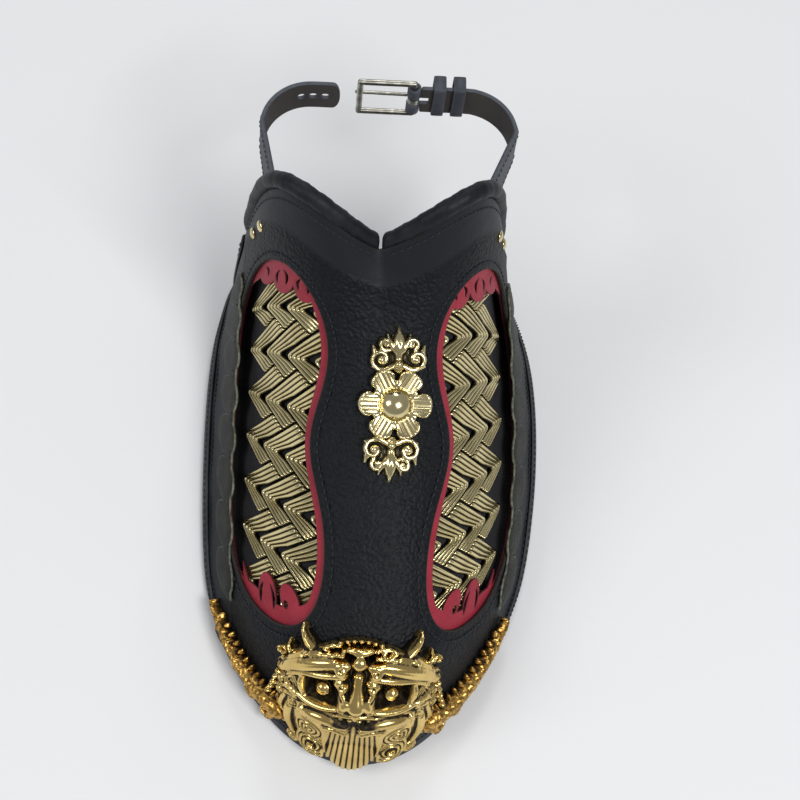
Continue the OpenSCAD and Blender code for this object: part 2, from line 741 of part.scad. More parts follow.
nose_roll = [[0, mask_height - 16, 9, 3.4], [0, mask_height - 25, 11, 4.6]];
crest_roll = [for (k = [-2:2]) [k * 6.4 - 2, mask_height - 6 - k * k, 5.5, 3.2]];
crest_beads = [for (k = [-2:2]) [k * 5.4 - 2, mask_height - 2.6 - 0.7 * k * k, 7, 2.5]];
function mirrored(roll, side) = [for (p = roll) [side * p[0], p[1], p[2], p[3]]];
module mask_half(side) {
  for (roll = concat(
      [brow_roll, horn_roll, small_horn_roll, nostril_roll, moustache_roll, tusk_roll, eye_lid],
      beard_rolls, beard_curls))
    chain(mirrored(roll, side));
  bead(mirrored([eye_ball], side)[0]);
}
module beast_mask() {
  color(bright_gilt) {
    mask_face();
    chain(crest_roll);
    chain(nose_roll);
    for (p = crest_beads)
      bead(p);
    for (side = [-1, 1])
      mask_half(side);
  }
}
wing_start = half_mask + 2.2;
wing_reach = 44;
wing_rows = 3;
wing_cols = 7;
wing_foot_rise = 7;
wing_top = 24;
wing_top_rise = 8;
wing_wave = 3;
wing_curls = [for (k = [0:3]) curl(wing_start + 7 + 10.5 * k, 15 + 2 * k, 5.4, 200, -260, 2.6, 1.9, 3)];
wing_spike = [for (f = [0, 0.5, 1]) [wing_start + 36 + 7 * f, 25 + 12 * f, 2.4 + f, 2.6 - 1.7 * f]];
module mask_wing(side) {
  grid = [for (i = [0:wing_rows])
    [for (j = [0:wing_cols])
      let (
        f = j / wing_cols,
        x = wing_start + wing_reach * f,
        top = wing_top + wing_top_rise * f + wing_wave * sin(720 * f),
        foot = mask_foot + wing_foot_rise * f,
        y = mix(foot, top, i / wing_rows)
      )
      [lookup(y, ridge_table), (side * x + mask_shift) / mask_arc, cast_lift + cast_plate, cast_lift]]];
  color(bright_gilt) {
    if (side > 0) sheet(grid);
    else sheet([for (row = grid) reversed(row)]);
    for (roll = concat(wing_curls, [wing_spike]))
      chain(mirrored(roll, side));
  }
}

// Heel strap: a band swept along a path of [point, outward direction]
corner_radius = 20;
loop_x = ankle_half_width - 5;
loop_y = strap_back - middle_y;
ear_u = 5.6;
ear_t = 0.62;
ear_sag = 0.6;
under_ear = -leather - layer_gap - ear_sag - strap_thick / 2;
// Places of the strap under the ear: distance along the cover from the rivets, and dip below the leather
ear_places = [[-0.09, 0], [0, 0], [0.1, 0], [0.24, 2], [0.42, 3.8]];
ear_spread = 0.1;
function loop_corner(side, a) = [
  [side * (loop_x - corner_radius + corner_radius * cos(a)), loop_y - corner_radius + corner_radius * sin(a),
   strap_height],
  [side * cos(a), sin(a), 0]];
function ear_point(side, k) =
  let (u = ear_u + ear_places[k][0], t = side * (ear_t + ear_spread * ear_places[k][0]))
  [at(u, t, under_ear - ear_places[k][1]), outward(u, t)];
function strap_path(side, end_x) =
  let (last = len(ear_places) - 1, start = ear_point(side, last)[0])
  concat(
    [for (k = [0:last]) ear_point(side, k)],
    [for (k = [1:3]) let (f = k / 4)
      [[start[0] + (side * loop_x - start[0]) * f,
        start[1] + (loop_y - corner_radius - start[1]) * f,
        start[2] + (strap_height - start[2]) * f],
       unit(ear_point(side, last)[1] * (1 - f) + [side, 0, 0] * f)]],
    [for (k = [0:6]) loop_corner(side, 15 * k)],
    [[[side * end_x, loop_y, strap_height], [0, 1, 0]]]);
function band_ring(path, k, side) =
  let (
    p = path[k][0],
    ahead = path[min(k + 1, len(path) - 1)][0],
    behind = path[max(k - 1, 0)][0],
    run = unit(ahead - behind),
    up = side * unit(cross(path[k][1], run)),
    flat = side * cross(run, up),
    w = strap_width / 2,
    h = strap_thick / 2
  )
  [p + w * up + h * flat, p + w * up - h * flat, p - w * up - h * flat, p - w * up + h * flat];
module band(side, end_x) {
  path = strap_path(side, end_x);
  rings = [for (k = [0:len(path) - 1]) band_ring(path, k, side)];
  swept(side > 0 ? rings : [for (r = rings) [r[3], r[2], r[1], r[0]]]);
}
rivet_spread = 0.031;
strap_rivet_length = leather + layer_gap + ear_sag + strap_thick + 1.3;
module strap_rivet_places(side) {
  for (k = [-1, 1])
    placed(ear_u, side * (ear_t + rivet_spread * k))
      children();
}
module rivet_hole(length) {
  cylinder(r = rivet_radius + hole_gap, h = length, center = true, $fn = 24);
}
module strap_rivets(side) {
  color(bright_gilt)
    strap_rivet_places(side)
      rivet(strap_rivet_length);
}
tip_x = 20;
tip_length = 6;
hole_pitch = 5;
hole_count = 3;
module strap_left() {
  color(black_leather) difference() {
    band(-1, tip_x);
    for (k = [0:hole_count - 1])
      translate([-tip_x - tip_length - k * hole_pitch, loop_y, strap_height])
        rotate([90, 0, 0])
          cylinder(r = pin_hole, h = 2 * strap_thick, center = true, $fn = 24);
    strap_rivet_places(-1)
      rivet_hole(4 * strap_rivet_length);
  }
}
hinge_x = 10;
fold_radius = bar_radius + hole_gap + 0.8 * strap_thick;
prong_width = 3;
prong_play = 1.2;
prong_radius = 0.8;
prong_over = 1.2;
prong_eye = bar_radius + hole_gap + 1.1;
prong_bore = bar_radius + 0.08;
slot_reach = 10;
slot_shift = 0.5;
side_z = strap_width / 2 + 1 + bar_radius;
module at_buckle() {
  translate([hinge_x, loop_y, strap_height])
    children();
}
module strap_right() {
  color(black_leather) difference() {
    union() {
      band(1, hinge_x + bar_radius);
      at_buckle()
        cylinder(r = fold_radius, h = strap_width, center = true, $fn = 48);
    }
    at_buckle() {
      cylinder(r = bar_radius + hole_gap, h = strap_width + 2, center = true, $fn = 48);
      translate([slot_shift, 0, 0])
        cube([slot_reach, slot_reach, prong_width + prong_play], center = true);
    }
    strap_rivet_places(1)
      rivet_hole(4 * strap_rivet_length);
  }
}
module buckle_frame() {
  color(buckle_metal) at_buckle() {
    for (x = [0, -buckle_length])
      translate([x, 0, 0])
        cylinder(r = bar_radius, h = 2 * side_z, center = true, $fn = 32);
    for (z = [-side_z, side_z]) {
      translate([-buckle_length / 2, 0, z])
        rotate([0, 90, 0])
          cylinder(r = bar_radius, h = buckle_length, center = true, $fn = 32);
      for (x = [0, -buckle_length])
        translate([x, 0, z])
          sphere(bar_radius, $fn = 32);
    }
  }
}
// The prong leaves its eye low and rests on the front bar
prong_root = [-1, bar_radius + prong_radius - 0.2];
prong_tip = [-buckle_length - prong_over, bar_radius + prong_radius + hole_gap];
module buckle_prong() {
  color(buckle_metal) at_buckle() difference() {
    union() {
      cylinder(r = prong_eye, h = prong_width, center = true, $fn = 32);
      hull() {
        translate(prong_root) sphere(prong_radius, $fn = 16);
        translate(prong_tip) sphere(prong_radius, $fn = 16);
      }
    }
    cylinder(r = prong_bore, h = prong_width + 1, center = true, $fn = 32);
  }
}
keeper_width = 5;
fixed_keeper_x = 20.3;
sliding_keeper_x = 28.3;
module keeper(x) {
  inner_z = strap_width + 2 * keeper_play;
  middle = loop_y + (keeper_depth - strap_thick) / 2 - keeper_play;
  color(black_leather) translate([x, middle, strap_height]) difference() {
    cube([keeper_width, keeper_depth + 2 * keeper_wall, inner_z + 2 * keeper_wall], center = true);
    cube([keeper_width + 1, keeper_depth, inner_z], center = true);
  }
}

for (i = [1:scale_rows]) {
  scale_row(-1, i);
  scale_row(1, i);
}
upper_shell();
lower_binding();
collar(-1);  // collar_left
collar(1);  // collar_right
lining_tray(-1);  // lining_left
lining_tray(1);  // lining_right
window_frame(-1);  // window_frame_left
window_frame(1);  // window_frame_right
scallop_edging(-1);  // scallop_edging_left
scallop_edging(1);  // scallop_edging_right
flower_petals();
flower_boss();
spray_upper();
spray_lower();
beast_mask();
mask_wing(-1);  // mask_wing_left
mask_wing(1);  // mask_wing_right
strap_rivets(-1);  // strap_rivets_left
strap_rivets(1);  // strap_rivets_right
strap_left();
strap_right();
buckle_frame();
buckle_prong();
keeper(fixed_keeper_x);  // fixed_keeper
keeper(sliding_keeper_x);  // sliding_keeper
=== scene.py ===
"""Looks of the leather sabaton: scales, red frames, castings, padded collar and heel strap."""

import logging
import math
from dataclasses import dataclass, field
from enum import Enum
from typing import Callable, Optional

import bpy
import numpy as np
from mathutils import Matrix, Vector
from mathutils.geometry import delaunay_2d_cdt

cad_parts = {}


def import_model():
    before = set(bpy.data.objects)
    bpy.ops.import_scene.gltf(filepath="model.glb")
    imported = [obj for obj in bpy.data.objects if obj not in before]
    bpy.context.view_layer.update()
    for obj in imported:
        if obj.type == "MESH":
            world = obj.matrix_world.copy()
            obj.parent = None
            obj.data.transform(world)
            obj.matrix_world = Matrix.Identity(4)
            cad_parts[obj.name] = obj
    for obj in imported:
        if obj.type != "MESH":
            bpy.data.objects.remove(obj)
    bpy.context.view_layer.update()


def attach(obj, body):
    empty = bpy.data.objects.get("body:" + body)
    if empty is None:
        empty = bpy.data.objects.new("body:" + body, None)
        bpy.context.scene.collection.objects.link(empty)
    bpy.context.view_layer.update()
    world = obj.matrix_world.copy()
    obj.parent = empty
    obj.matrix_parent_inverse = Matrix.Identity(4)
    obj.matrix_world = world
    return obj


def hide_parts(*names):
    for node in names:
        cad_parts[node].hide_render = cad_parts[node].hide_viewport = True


LOG = logging.getLogger("sabaton")
MM = 0.001
LEATHER = 1.8
TINY = 1e-12

Array = np.ndarray
Rule = Callable[[Array], Array]
Laying = Callable[[Array, Array], Array]
Relief = Callable[[Array, Array], Array]


class Side(Enum):
    """Which side of the ridge a piece lies on, as the camera sees it."""

    LEFT = -1
    RIGHT = 1

    @property
    def label(self) -> str:
        """The side's word in piece names."""
        return self.name.lower()


class Cut(Enum):
    """What a loop of a flat pattern does to the leather inside it."""

    ADD = True
    REMOVE = False


class Body(Enum):
    """The bodies of the assembly that pieces ride on."""

    COVER = "cover"
    KEEPER = "keeper"


# ---- sums


def unit(v: Array) -> Array:
    """Rows of v at length one."""
    return v / np.maximum(np.linalg.norm(v, axis=-1, keepdims=True), TINY)


def left_of(run: Array) -> Array:
    """Flat directions turned a quarter to the left."""
    return np.stack([-run[:, 1], run[:, 0]], axis=1)


def walked(line: Array) -> Array:
    """The distance covered up to each point of a line."""
    steps = np.linalg.norm(np.diff(line, axis=0), axis=1)
    return np.concatenate([[0], np.cumsum(steps)])


def ramp(value: Array, span: float) -> Array:
    """Nought below nought, rising evenly to one over span."""
    return np.clip(value / span, 0, 1)


def eased(share: Array) -> Array:
    """A share from nought to one with soft ends."""
    return share * share * (3 - 2 * share)


def bell(x: Array, width: float, power: int = 2) -> Array:
    """One at nought, falling away over width; a higher power has a flatter top."""
    return np.exp(-((x / width) ** power))


def wave(x: Array, pitch: float) -> Array:
    """A cosine that repeats at every pitch."""
    return np.cos(x * 2 * np.pi / pitch)


def spline(a: Array, b: Array, c: Array, d: Array, f: Array) -> Array:
    """A smooth curve from b to c at share f, led by a before and by d after."""
    bend, twist = 2 * a - 5 * b + 4 * c - d, 3 * b - a - 3 * c + d
    return 0.5 * (2 * b + (c - a) * f + bend * f**2 + twist * f**3)


# ---- form


@dataclass
class FootForm:
    """The arched form that the leather follows, in millimetres.

    Stations run from the toe edge to the collar. Each holds ridge y and z, skirt y and z,
    half width, fullness in height and in plan, and the spread of its points.
    """

    stations: tuple = (
        (-126, 2.4, -74.34, 3.4, 58, 2.1, 2.1, 0.44),
        (-99.54, 46, -45.99, 2.15, 66, 2.2, 2.2, 0.44),
        (-69.93, 61.98, -10.08, 2.15, 70, 2.2, 2.2, 0.44),
        (-34.02, 77.02, 26, 2.15, 71, 2.2, 2.2, 0.44),
        (0, 93, 54, 3.15, 69, 2.5, 2.2, 0.50),
        (23.94, 108.5, 72, 8, 63.5, 4.5, 2.3, 0.70),
        (42, 124, 80, 18, 56, 11, 2.4, 0.90),
    )
    collar: float = 6.0
    middle_y: float = 2.3
    swing: float = 4.0
    ear_rise: float = 20.0
    ear_start: float = 4.4
    ear_span: float = 0.7
    ear_round: float = 1.2
    step: float = 0.02
    window_mid: float = 3.2
    toe_shift: float = -3.0
    toe_arc: float = 88.0
    toe_lift: float = 0.45
    rows: Array = field(init=False)
    lengths: Array = field(init=False)
    widths: Array = field(init=False)
    ridge: Array = field(init=False)

    def __post_init__(self) -> None:
        """Measures the form once, along a panel's middle, across it, and along the ridge."""
        self.rows = np.array(self.stations)
        self.lengths = self._table(np.linspace(0, self.collar, 61), lambda k: (k, 0.5))
        self.widths = self._table(np.linspace(0, 1, 51), lambda k: (self.window_mid, k))
        self.ridge = self._table(np.linspace(0, 5.1, 52), lambda k: (k, 0.0))

    def _table(self, places: Array, line: Callable[[Array], tuple]) -> Array:
        """Distances covered along a line over the form.

        Args:
            places: the line's own parameter values.
            line: gives u and t for those values.

        Returns:
            Two rows, distance and parameter.
        """
        return np.array([walked(self.skin(*line(places))), places])

    def station(self, u: Array) -> Array:
        """The station values at u, read off a smooth curve through the seven stations."""
        last = len(self.rows) - 1
        i = np.clip(np.floor(u).astype(int), 0, last - 1)
        b, c = self.rows[i], self.rows[i + 1]
        a = np.where((i > 0)[:, None], self.rows[np.maximum(i - 1, 0)], 2 * b - c)
        d = np.where((i < last - 1)[:, None], self.rows[np.minimum(i + 2, last)], 2 * c - b)
        return spline(a, b, c, d, (u - i)[:, None])

    def skin(self, u: Array, t: Array) -> Array:
        """Points of the leather's outer surface.

        Args:
            u: from 0 at the toe edge to 6 at the collar.
            t: from -1 at the left edge to 1 at the right edge.

        Returns:
            One row of x, y, z for each pair, in millimetres.
        """
        u, t = np.broadcast_arrays(*(np.atleast_1d(np.asarray(v, float)) for v in (u, t)))
        ridge_y, ridge_z, skirt_y, skirt_z, half, full_z, full_y, spread = self.station(u).T
        across = np.abs(t)
        g = across * (1 + spread * (1 - across))
        bulge = np.maximum(0, np.sin(np.pi * np.minimum(across / self.ear_span, 1)))
        start = self.ear_start
        ear = self.ear_rise * (np.maximum(0, u - start) / (self.collar - start)) ** 2
        lean = self.swing * (np.sin(np.pi * ramp(u, self.collar)) - 1)
        x = np.sign(t) * half * g + lean
        y = skirt_y + (ridge_y - skirt_y) * (1 - g**full_y) - self.middle_y
        z = skirt_z + (ridge_z - skirt_z) * (1 - g**full_z) + ear * bulge**self.ear_round
        return np.stack([x, y, z], axis=1)

    def across(self, u: Array, t: Array) -> Array:
        """The direction towards the right skirt."""
        return self.skin(u, np.asarray(t) + self.step) - self.skin(u, np.asarray(t) - self.step)

    def outward(self, u: Array, t: Array) -> Array:
        """The direction straight out of the leather."""
        along = self.skin(np.asarray(u) + self.step, t) - self.skin(np.asarray(u) - self.step, t)
        return unit(np.cross(self.across(u, t), along))

    def at(self, u: Array, t: Array, n: Array) -> Array:
        """Points at height n over the leather's outer surface."""
        return self.skin(u, t) + np.reshape(n, (-1, 1)) * self.outward(u, t)

    def middle(self) -> float:
        """How far the window's middle lies from the toe edge."""
        return np.interp(self.window_mid, self.lengths[1], self.lengths[0])

    def u_at(self, b: Array) -> Array:
        """The place u at distance b along the panel's middle, 0 being the window's middle."""
        return np.interp(np.asarray(b) + self.middle(), self.lengths[0], self.lengths[1])

    def b_at(self, u: Array) -> Array:
        """The distance along the panel's middle at u."""
        return np.interp(u, self.lengths[1], self.lengths[0]) - self.middle()

    def a_at(self, t: Array) -> Array:
        """The distance across the panel at t, signed as t is."""
        return np.sign(t) * np.interp(np.abs(t), self.widths[1], self.widths[0])

    def t_at(self, a: Array) -> Array:
        """The place t at distance a across the panel, signed as a is."""
        return np.sign(a) * np.interp(np.abs(a), self.widths[0], self.widths[1])

    def panel(self, points: Array, n: Array) -> Array:
        """Flat pattern points, across and along in millimetres, laid on the form at height n."""
        return self.at(self.u_at(points[:, 1]), self.t_at(points[:, 0]), n)

    def toe(self, points: Array, n: Array) -> Array:
        """Points given across the toe and up its slope in millimetres, at height n."""
        u = np.interp(points[:, 1], self.ridge[0], self.ridge[1])
        return self.at(u, (points[:, 0] + self.toe_shift) / self.toe_arc, n + self.toe_lift)

    def frame_on(self, u: float, t: float, depth: float) -> tuple:
        """A place on the leather with its across, along and outward directions."""
        z = self.outward(u, t)[0]
        x = self.across(u, t)[0]
        x = unit(x - (x @ z) * z)
        return self.at(u, t, depth)[0], x, np.cross(z, x), z


# ---- meshes


def build_mesh(
    name: str, points: Array, faces: list, values: Optional[dict] = None
) -> bpy.types.Object:
    """A smooth mesh object from points in millimetres.

    Args:
        name: the piece's name.
        points: one row per vertex.
        faces: lists of vertex numbers.
        values: named values, one per vertex, for the finish to read.

    Returns:
        The new object, in metres.
    """
    mesh = bpy.data.meshes.new(name)
    mesh.from_pydata((np.asarray(points) * MM).tolist(), [], faces)
    mesh.validate()
    mesh.polygons.foreach_set("use_smooth", [True] * len(mesh.polygons))
    for key, given in (values or {}).items():
        layer = mesh.attributes.new(key, "FLOAT", "POINT")
        layer.data.foreach_set("value", np.asarray(given, np.float32))
    mesh.update()
    return placed(name, mesh)


def placed(name: str, data: bpy.types.ID) -> bpy.types.Object:
    """An object of the scene that shows the data."""
    made = bpy.data.objects.new(name, data)
    bpy.context.scene.collection.objects.link(made)
    return made


def solid(
    name: str, over: Array, under: Array, tris: Array, rim: Array, values: dict
) -> bpy.types.Object:
    """Closes an upper and a lower face with the same triangles into one piece.

    Args:
        name: the piece's name.
        over: points of the upper face.
        under: points of the lower face.
        tris: the upper face's triangles.
        rim: its directed outer edges.
        values: named values, one per point of a face.

    Returns:
        The object, its upper triangles first.
    """
    corner = over[tris[:, 0]]
    facing = np.cross(over[tris[:, 1]] - corner, over[tris[:, 2]] - corner)
    if (facing * (corner - under[tris[:, 0]])).sum() < 0:
        tris, rim = tris[:, ::-1], rim[:, ::-1]
    n = len(over)
    faces = tris.tolist() + (tris[:, ::-1] + n).tolist()
    faces += [[b, a, a + n, b + n] for a, b in rim.tolist()]
    both = {key: np.concatenate([given, given]) for key, given in values.items()}
    return build_mesh(name, np.vstack([over, under]), faces, both)


def grid_faces(rows: int, cols: int) -> list:
    """The faces between the points of a grid."""
    corners = [i * cols + j for i in range(rows - 1) for j in range(cols - 1)]
    return [[k, k + 1, k + cols + 1, k + cols] for k in corners]


def slab_faces(rows: int, cols: int, flipped: bool) -> list:
    """The faces of a slab with a grid of points above and the same grid below.

    Args:
        rows: rows of a grid.
        cols: points in each row.
        flipped: whether the faces turn the other way round.

    Returns:
        The upper faces, the lower ones and the walls between them.
    """
    n = rows * cols
    quads = grid_faces(rows, cols)
    rim = [i * cols for i in range(rows)] + [n - cols + j for j in range(1, cols)]
    rim += [i * cols + cols - 1 for i in range(rows - 2, -1, -1)] + list(range(cols - 2, 0, -1))
    faces = quads + [[v + n for v in q[::-1]] for q in quads]
    faces += [[a, b, b + n, a + n] for a, b in zip(rim, rim[1:] + rim[:1])]
    return [f[::-1] for f in faces] if flipped else faces


def tube_faces(rings: int, sides: int, closed: bool = False, caps: bool = True) -> list:
    """Faces of a tube whose rings each have the same number of points."""
    faces = []
    for i in range(rings if closed else rings - 1):
        j = (i + 1) % rings
        for k in range(sides):
            m = (k + 1) % sides
            faces.append([i * sides + k, i * sides + m, j * sides + m, j * sides + k])
    if caps and not closed:
        faces.append(list(range(sides))[::-1])
        faces.append([(rings - 1) * sides + k for k in range(sides)])
    return faces


def ring_angles(sides: int) -> Array:
    """Angles all round, an even step apart."""
    return 2 * np.pi * np.arange(sides) / sides


def lathed(profile: list, sides: int) -> Array:
    """Rings of points round the upright axis, from a profile of radius and height."""
    a = ring_angles(sides)
    c, s = np.cos(a), np.sin(a)
    return np.vstack([np.stack([r * c, r * s, np.full(sides, h)], axis=1) for r, h in profile])


# ---- flat lines


def closed_line(loop: Array) -> Array:
    """A loop as a line that ends where it starts."""
    return np.vstack([loop, loop[:1]])


def points_inside(points: Array, loop: Array) -> Array:
    """Which points lie inside a closed loop."""
    x, y = points[:, 0][:, None], points[:, 1][:, None]
    x0, y0 = loop[:, 0], loop[:, 1]
    x1, y1 = np.roll(x0, -1), np.roll(y0, -1)
    spans = (y0 > y) != (y1 > y)
    with np.errstate(divide="ignore", invalid="ignore"):
        crossing = x < (x1 - x0) * (y - y0) / (y1 - y0) + x0
    return (spans & crossing).sum(axis=1) % 2 == 1


def segment_distance(points: Array, starts: Array, ends: Array, block: int = 2000) -> Array:
    """Distance from each point to the nearest of the segments."""
    run = ends - starts
    square = np.maximum((run**2).sum(1), TINY)
    out = np.empty(len(points))
    for k in range(0, len(points), block):
        rel = points[k : k + block, None, :] - starts[None]
        f = np.clip((rel * run[None]).sum(2) / square, 0, 1)
        gap = rel - f[..., None] * run[None]
        out[k : k + block] = np.sqrt(((gap**2).sum(2)).min(1))
    return out


def line_distance(points: Array, line: Array) -> Array:
    """Distance from each point to an open line."""
    return segment_distance(points, line[:-1], line[1:])


def resampled(loop: Array, pitch: float, closed: bool = True) -> Array:
    """The same line with points an even pitch apart."""
    line = closed_line(loop) if closed else np.asarray(loop, float)
    total = walked(line)
    count = max(3, int(round(total[-1] / pitch)))
    at = np.linspace(0, total[-1], count + 1)
    out = np.stack([np.interp(at, total, column) for column in line.T], axis=1)
    return out[:-1] if closed else out


def shifted(loop: Array, amount: Array) -> Array:
    """A closed loop moved inward by an amount, the same or one for each point."""
    left = left_of(unit(np.roll(loop, -1, 0) - np.roll(loop, 1, 0)))
    x, y = loop.T
    area = 0.5 * np.sum(x * np.roll(y, -1) - np.roll(x, -1) * y)
    return loop + left * np.sign(area) * np.reshape(amount, (-1, 1))


def smooth_line(points: Array, steps: int) -> Array:
    """A smooth open curve through a few points, each span cut into steps."""
    p = np.array(points, float)
    p = np.vstack([2 * p[0] - p[1], p, 2 * p[-1] - p[-2]])
    shares = (np.arange(steps) / steps)[:, None]
    spans = [spline(*p[i : i + 4], shares) for i in range(len(p) - 3)]
    return np.vstack(spans + [p[-2:-1]])


def turned(x: float, y: float, along: Array, side: Array, turn: float) -> Array:
    """Points given along and beside a direction in degrees, starting at x, y."""
    c, s = math.cos(math.radians(turn)), math.sin(math.radians(turn))
    return np.stack([x + c * along - s * side, y + s * along + c * side], axis=1)


def oval(x: float, y: float, rx: float, ry: float, turn: float = 0, count: int = 32) -> Array:
    """An oval loop, turned by an angle in degrees."""
    k = ring_angles(count)
    return turned(x, y, rx * np.cos(k), ry * np.sin(k), turn)


def leaf(x: float, y: float, length: float, width: float, turn: float, bend: float = 0) -> Array:
    """A pointed leaf loop that starts at x, y and runs in the direction turn, in degrees."""
    f = np.linspace(0, 1, 14)
    half = 0.5 * width * np.sin(np.pi * f**0.8)
    middle = bend * np.sin(np.pi * f)
    along = np.concatenate([f, f[-2:0:-1]]) * length
    side = np.concatenate([middle + half, (middle - half)[-2:0:-1]])
    return turned(x, y, along, side, turn)


def rounded_box(low: tuple, high: tuple, radius: float, count: int) -> Array:
    """A rectangle's loop with so many points round each corner."""
    points = []
    for x, y, start in ((1, 1, 0), (0, 1, 90), (0, 0, 180), (1, 0, 270)):
        cx = high[0] - radius if x else low[0] + radius
        cy = high[1] - radius if y else low[1] + radius
        for angle in np.radians(start + np.linspace(0, 90, count)):
            points.append((cx + radius * math.cos(angle), cy + radius * math.sin(angle)))
    return np.array(points)


def on_side(loop: Array, side: Side) -> Array:
    """A right-hand flat line put on one side."""
    return loop * np.array([side.value, 1.0])


@dataclass
class FlatPattern:
    """A piece cut from sheet: loops that add or remove material, mesh spacing, rounded edges."""

    loops: list
    spacing: float
    edge_pitch: float
    edge_radius: float
    extra_lines: list = field(default_factory=list)
    row_share: float = 0.87
    round_steps: tuple = (0.12, 0.4, 1.0)

    def inside(self, points: Array) -> Array:
        """Which points lie in the pattern's material."""
        state = np.zeros(len(points), bool)
        for cut, loop in self.loops:
            state[points_inside(points, loop)] = cut.value
        return state

    def _triangles(self, points: Array, edges: list) -> tuple:
        """Triangulates points and keeps the triangles in the material."""
        corners = [Vector(p) for p in points.tolist()]
        found = delaunay_2d_cdt(corners, edges, [], 0, 1e-4, False)
        spots = np.array([tuple(v) for v in found[0]])
        tris = np.array([f for f in found[2] if len(f) == 3])
        return spots, tris[self.inside(spots[tris].mean(1))]

    @staticmethod
    def _rim(tris: Array) -> Array:
        """The directed edges that only one triangle uses."""
        edges = np.vstack([tris[:, [0, 1]], tris[:, [1, 2]], tris[:, [2, 0]]])
        key = np.sort(edges, axis=1)
        _, first, counts = np.unique(key, axis=0, return_index=True, return_counts=True)
        return edges[first[counts == 1]]

    def _cut_edges(self) -> tuple:
        """The outline that is left once every loop has added or removed its material."""
        points, edges = [], []
        for _, loop in self.loops:
            base, ring = len(points), resampled(loop, self.edge_pitch)
            points += ring.tolist()
            edges += [(base + k, base + (k + 1) % len(ring)) for k in range(len(ring))]
        spots, tris = self._triangles(np.array(points), edges)
        rim = self._rim(tris)
        used, numbers = np.unique(rim, return_inverse=True)
        return spots[rim[:, 0]], spots[rim[:, 1]], spots[used], numbers.reshape(rim.shape)

    def mesh(self) -> tuple:
        """Makes the flat mesh.

        Returns:
            Points, triangles, rim edges, and each point's distance from the cut edge.
        """
        starts, ends, corners, edges = self._cut_edges()
        left = left_of(unit(ends - starts))
        if not self.inside((starts + ends)[:1] / 2 + left[:1] * 0.01)[0]:
            left = -left
        normal = np.zeros_like(corners)
        for column in (0, 1):
            np.add.at(normal, edges[:, column], left)
        steps = [corners + unit(normal) * self.edge_radius * f for f in self.round_steps]
        low, high = corners.min(0), corners.max(0)
        xs = np.arange(low[0], high[0], self.spacing)
        ys = np.arange(low[1], high[1], self.spacing * self.row_share)
        half = self.spacing / 2
        grid = np.array([(x + (k % 2) * half, y) for k, y in enumerate(ys) for x in xs])
        grid = grid[self.inside(grid)]
        clear = self.edge_radius + 0.45 * self.spacing
        grid = grid[segment_distance(grid, starts, ends) > clear]
        for line in self.extra_lines:
            grid = grid[line_distance(grid, line) > 0.5 * self.edge_pitch]
        rings = np.vstack(steps + self.extra_lines)
        rings = rings[self.inside(rings)]
        rings = rings[segment_distance(rings, starts, ends) > 0.08 * self.edge_radius]
        flat, tris = self._triangles(np.vstack([corners, rings, grid]), edges.tolist())
        rim = self._rim(tris)
        return flat, tris, rim, segment_distance(flat, flat[rim[:, 0]], flat[rim[:, 1]])

    def piece(
        self,
        name: str,
        laid: Laying,
        top: float,
        bottom: float,
        relief: Optional[Relief] = None,
        values: Optional[dict] = None,
        under_index: int = 0,
    ) -> bpy.types.Object:
        """Lays the pattern on a surface as a solid piece.

        Args:
            name: the piece's name.
            laid: turns flat points and heights into places in space.
            top: height of the upper face.
            bottom: height of the lower face.
            relief: extra height of the upper face, from flat points and their edge distance.
            values: functions of flat points and edge distance that give named values.
            under_index: material index of the lower face.

        Returns:
            The object.
        """
        flat, tris, rim, distance = self.mesh()
        r = self.edge_radius
        near = np.clip(r - distance, 0, r)
        upper = top - (r - np.sqrt(np.maximum(r * r - near**2, 0)))
        if relief is not None:
            upper = upper + relief(flat, distance)
        named = {"edge": distance}
        named |= {key: rule(flat, distance) for key, rule in (values or {}).items()}
        piece = solid(name, laid(flat, upper), laid(flat, bottom), tris, rim, named)
        if under_index:
            index = np.zeros(len(piece.data.polygons), int)
            index[len(tris) : 2 * len(tris)] = under_index
            piece.data.polygons.foreach_set("material_index", index)
        return piece


STITCH = ((0, 0.3, -0.25), (0.18, 0.9, 0), (0.5, 1, 0.06), (0.82, 0.9, 0), (1, 0.3, -0.25))


def stitched(name: str, lines: list, laid: Laying, height: float) -> bpy.types.Object:
    """A row of raised stitches along each flat line.

    Each place of STITCH gives a share of the length, a share of the radius and a lift.

    Args:
        name: the piece's name.
        lines: open flat lines in millimetres.
        laid: turns flat points and heights into places in space.
        height: height of the stitches' middles.

    Returns:
        One object with all the stitches.
    """
    pitch, radius, flatness, sides = 2.9, 0.36, 0.8, 6
    length = 0.72 * pitch
    turn = ring_angles(sides)[:, None]
    points, faces = [], []
    for line in lines:
        spots = resampled(line, pitch, closed=False)
        middle = (spots[1:] + spots[:-1]) / 2
        run = unit(spots[1:] - spots[:-1])
        low, high = (laid(middle + way * run * length / 2, height) for way in (-1, 1))
        out = unit(laid(middle, height + 0.5) - laid(middle, height))
        aside = np.cross(unit(high - low), out)
        for k in range(len(middle)):
            base = len(points) * sides
            section = np.cos(turn) * aside[k] + flatness * np.sin(turn) * out[k]
            for f, share, lift in STITCH:
                centre = low[k] + (high[k] - low[k]) * f + out[k] * lift
                points.append(centre + radius * share * section)
            faces += [[base + v for v in f] for f in tube_faces(len(STITCH), sides)]
    return build_mesh(name, np.vstack(points), faces)


# ---- finishes


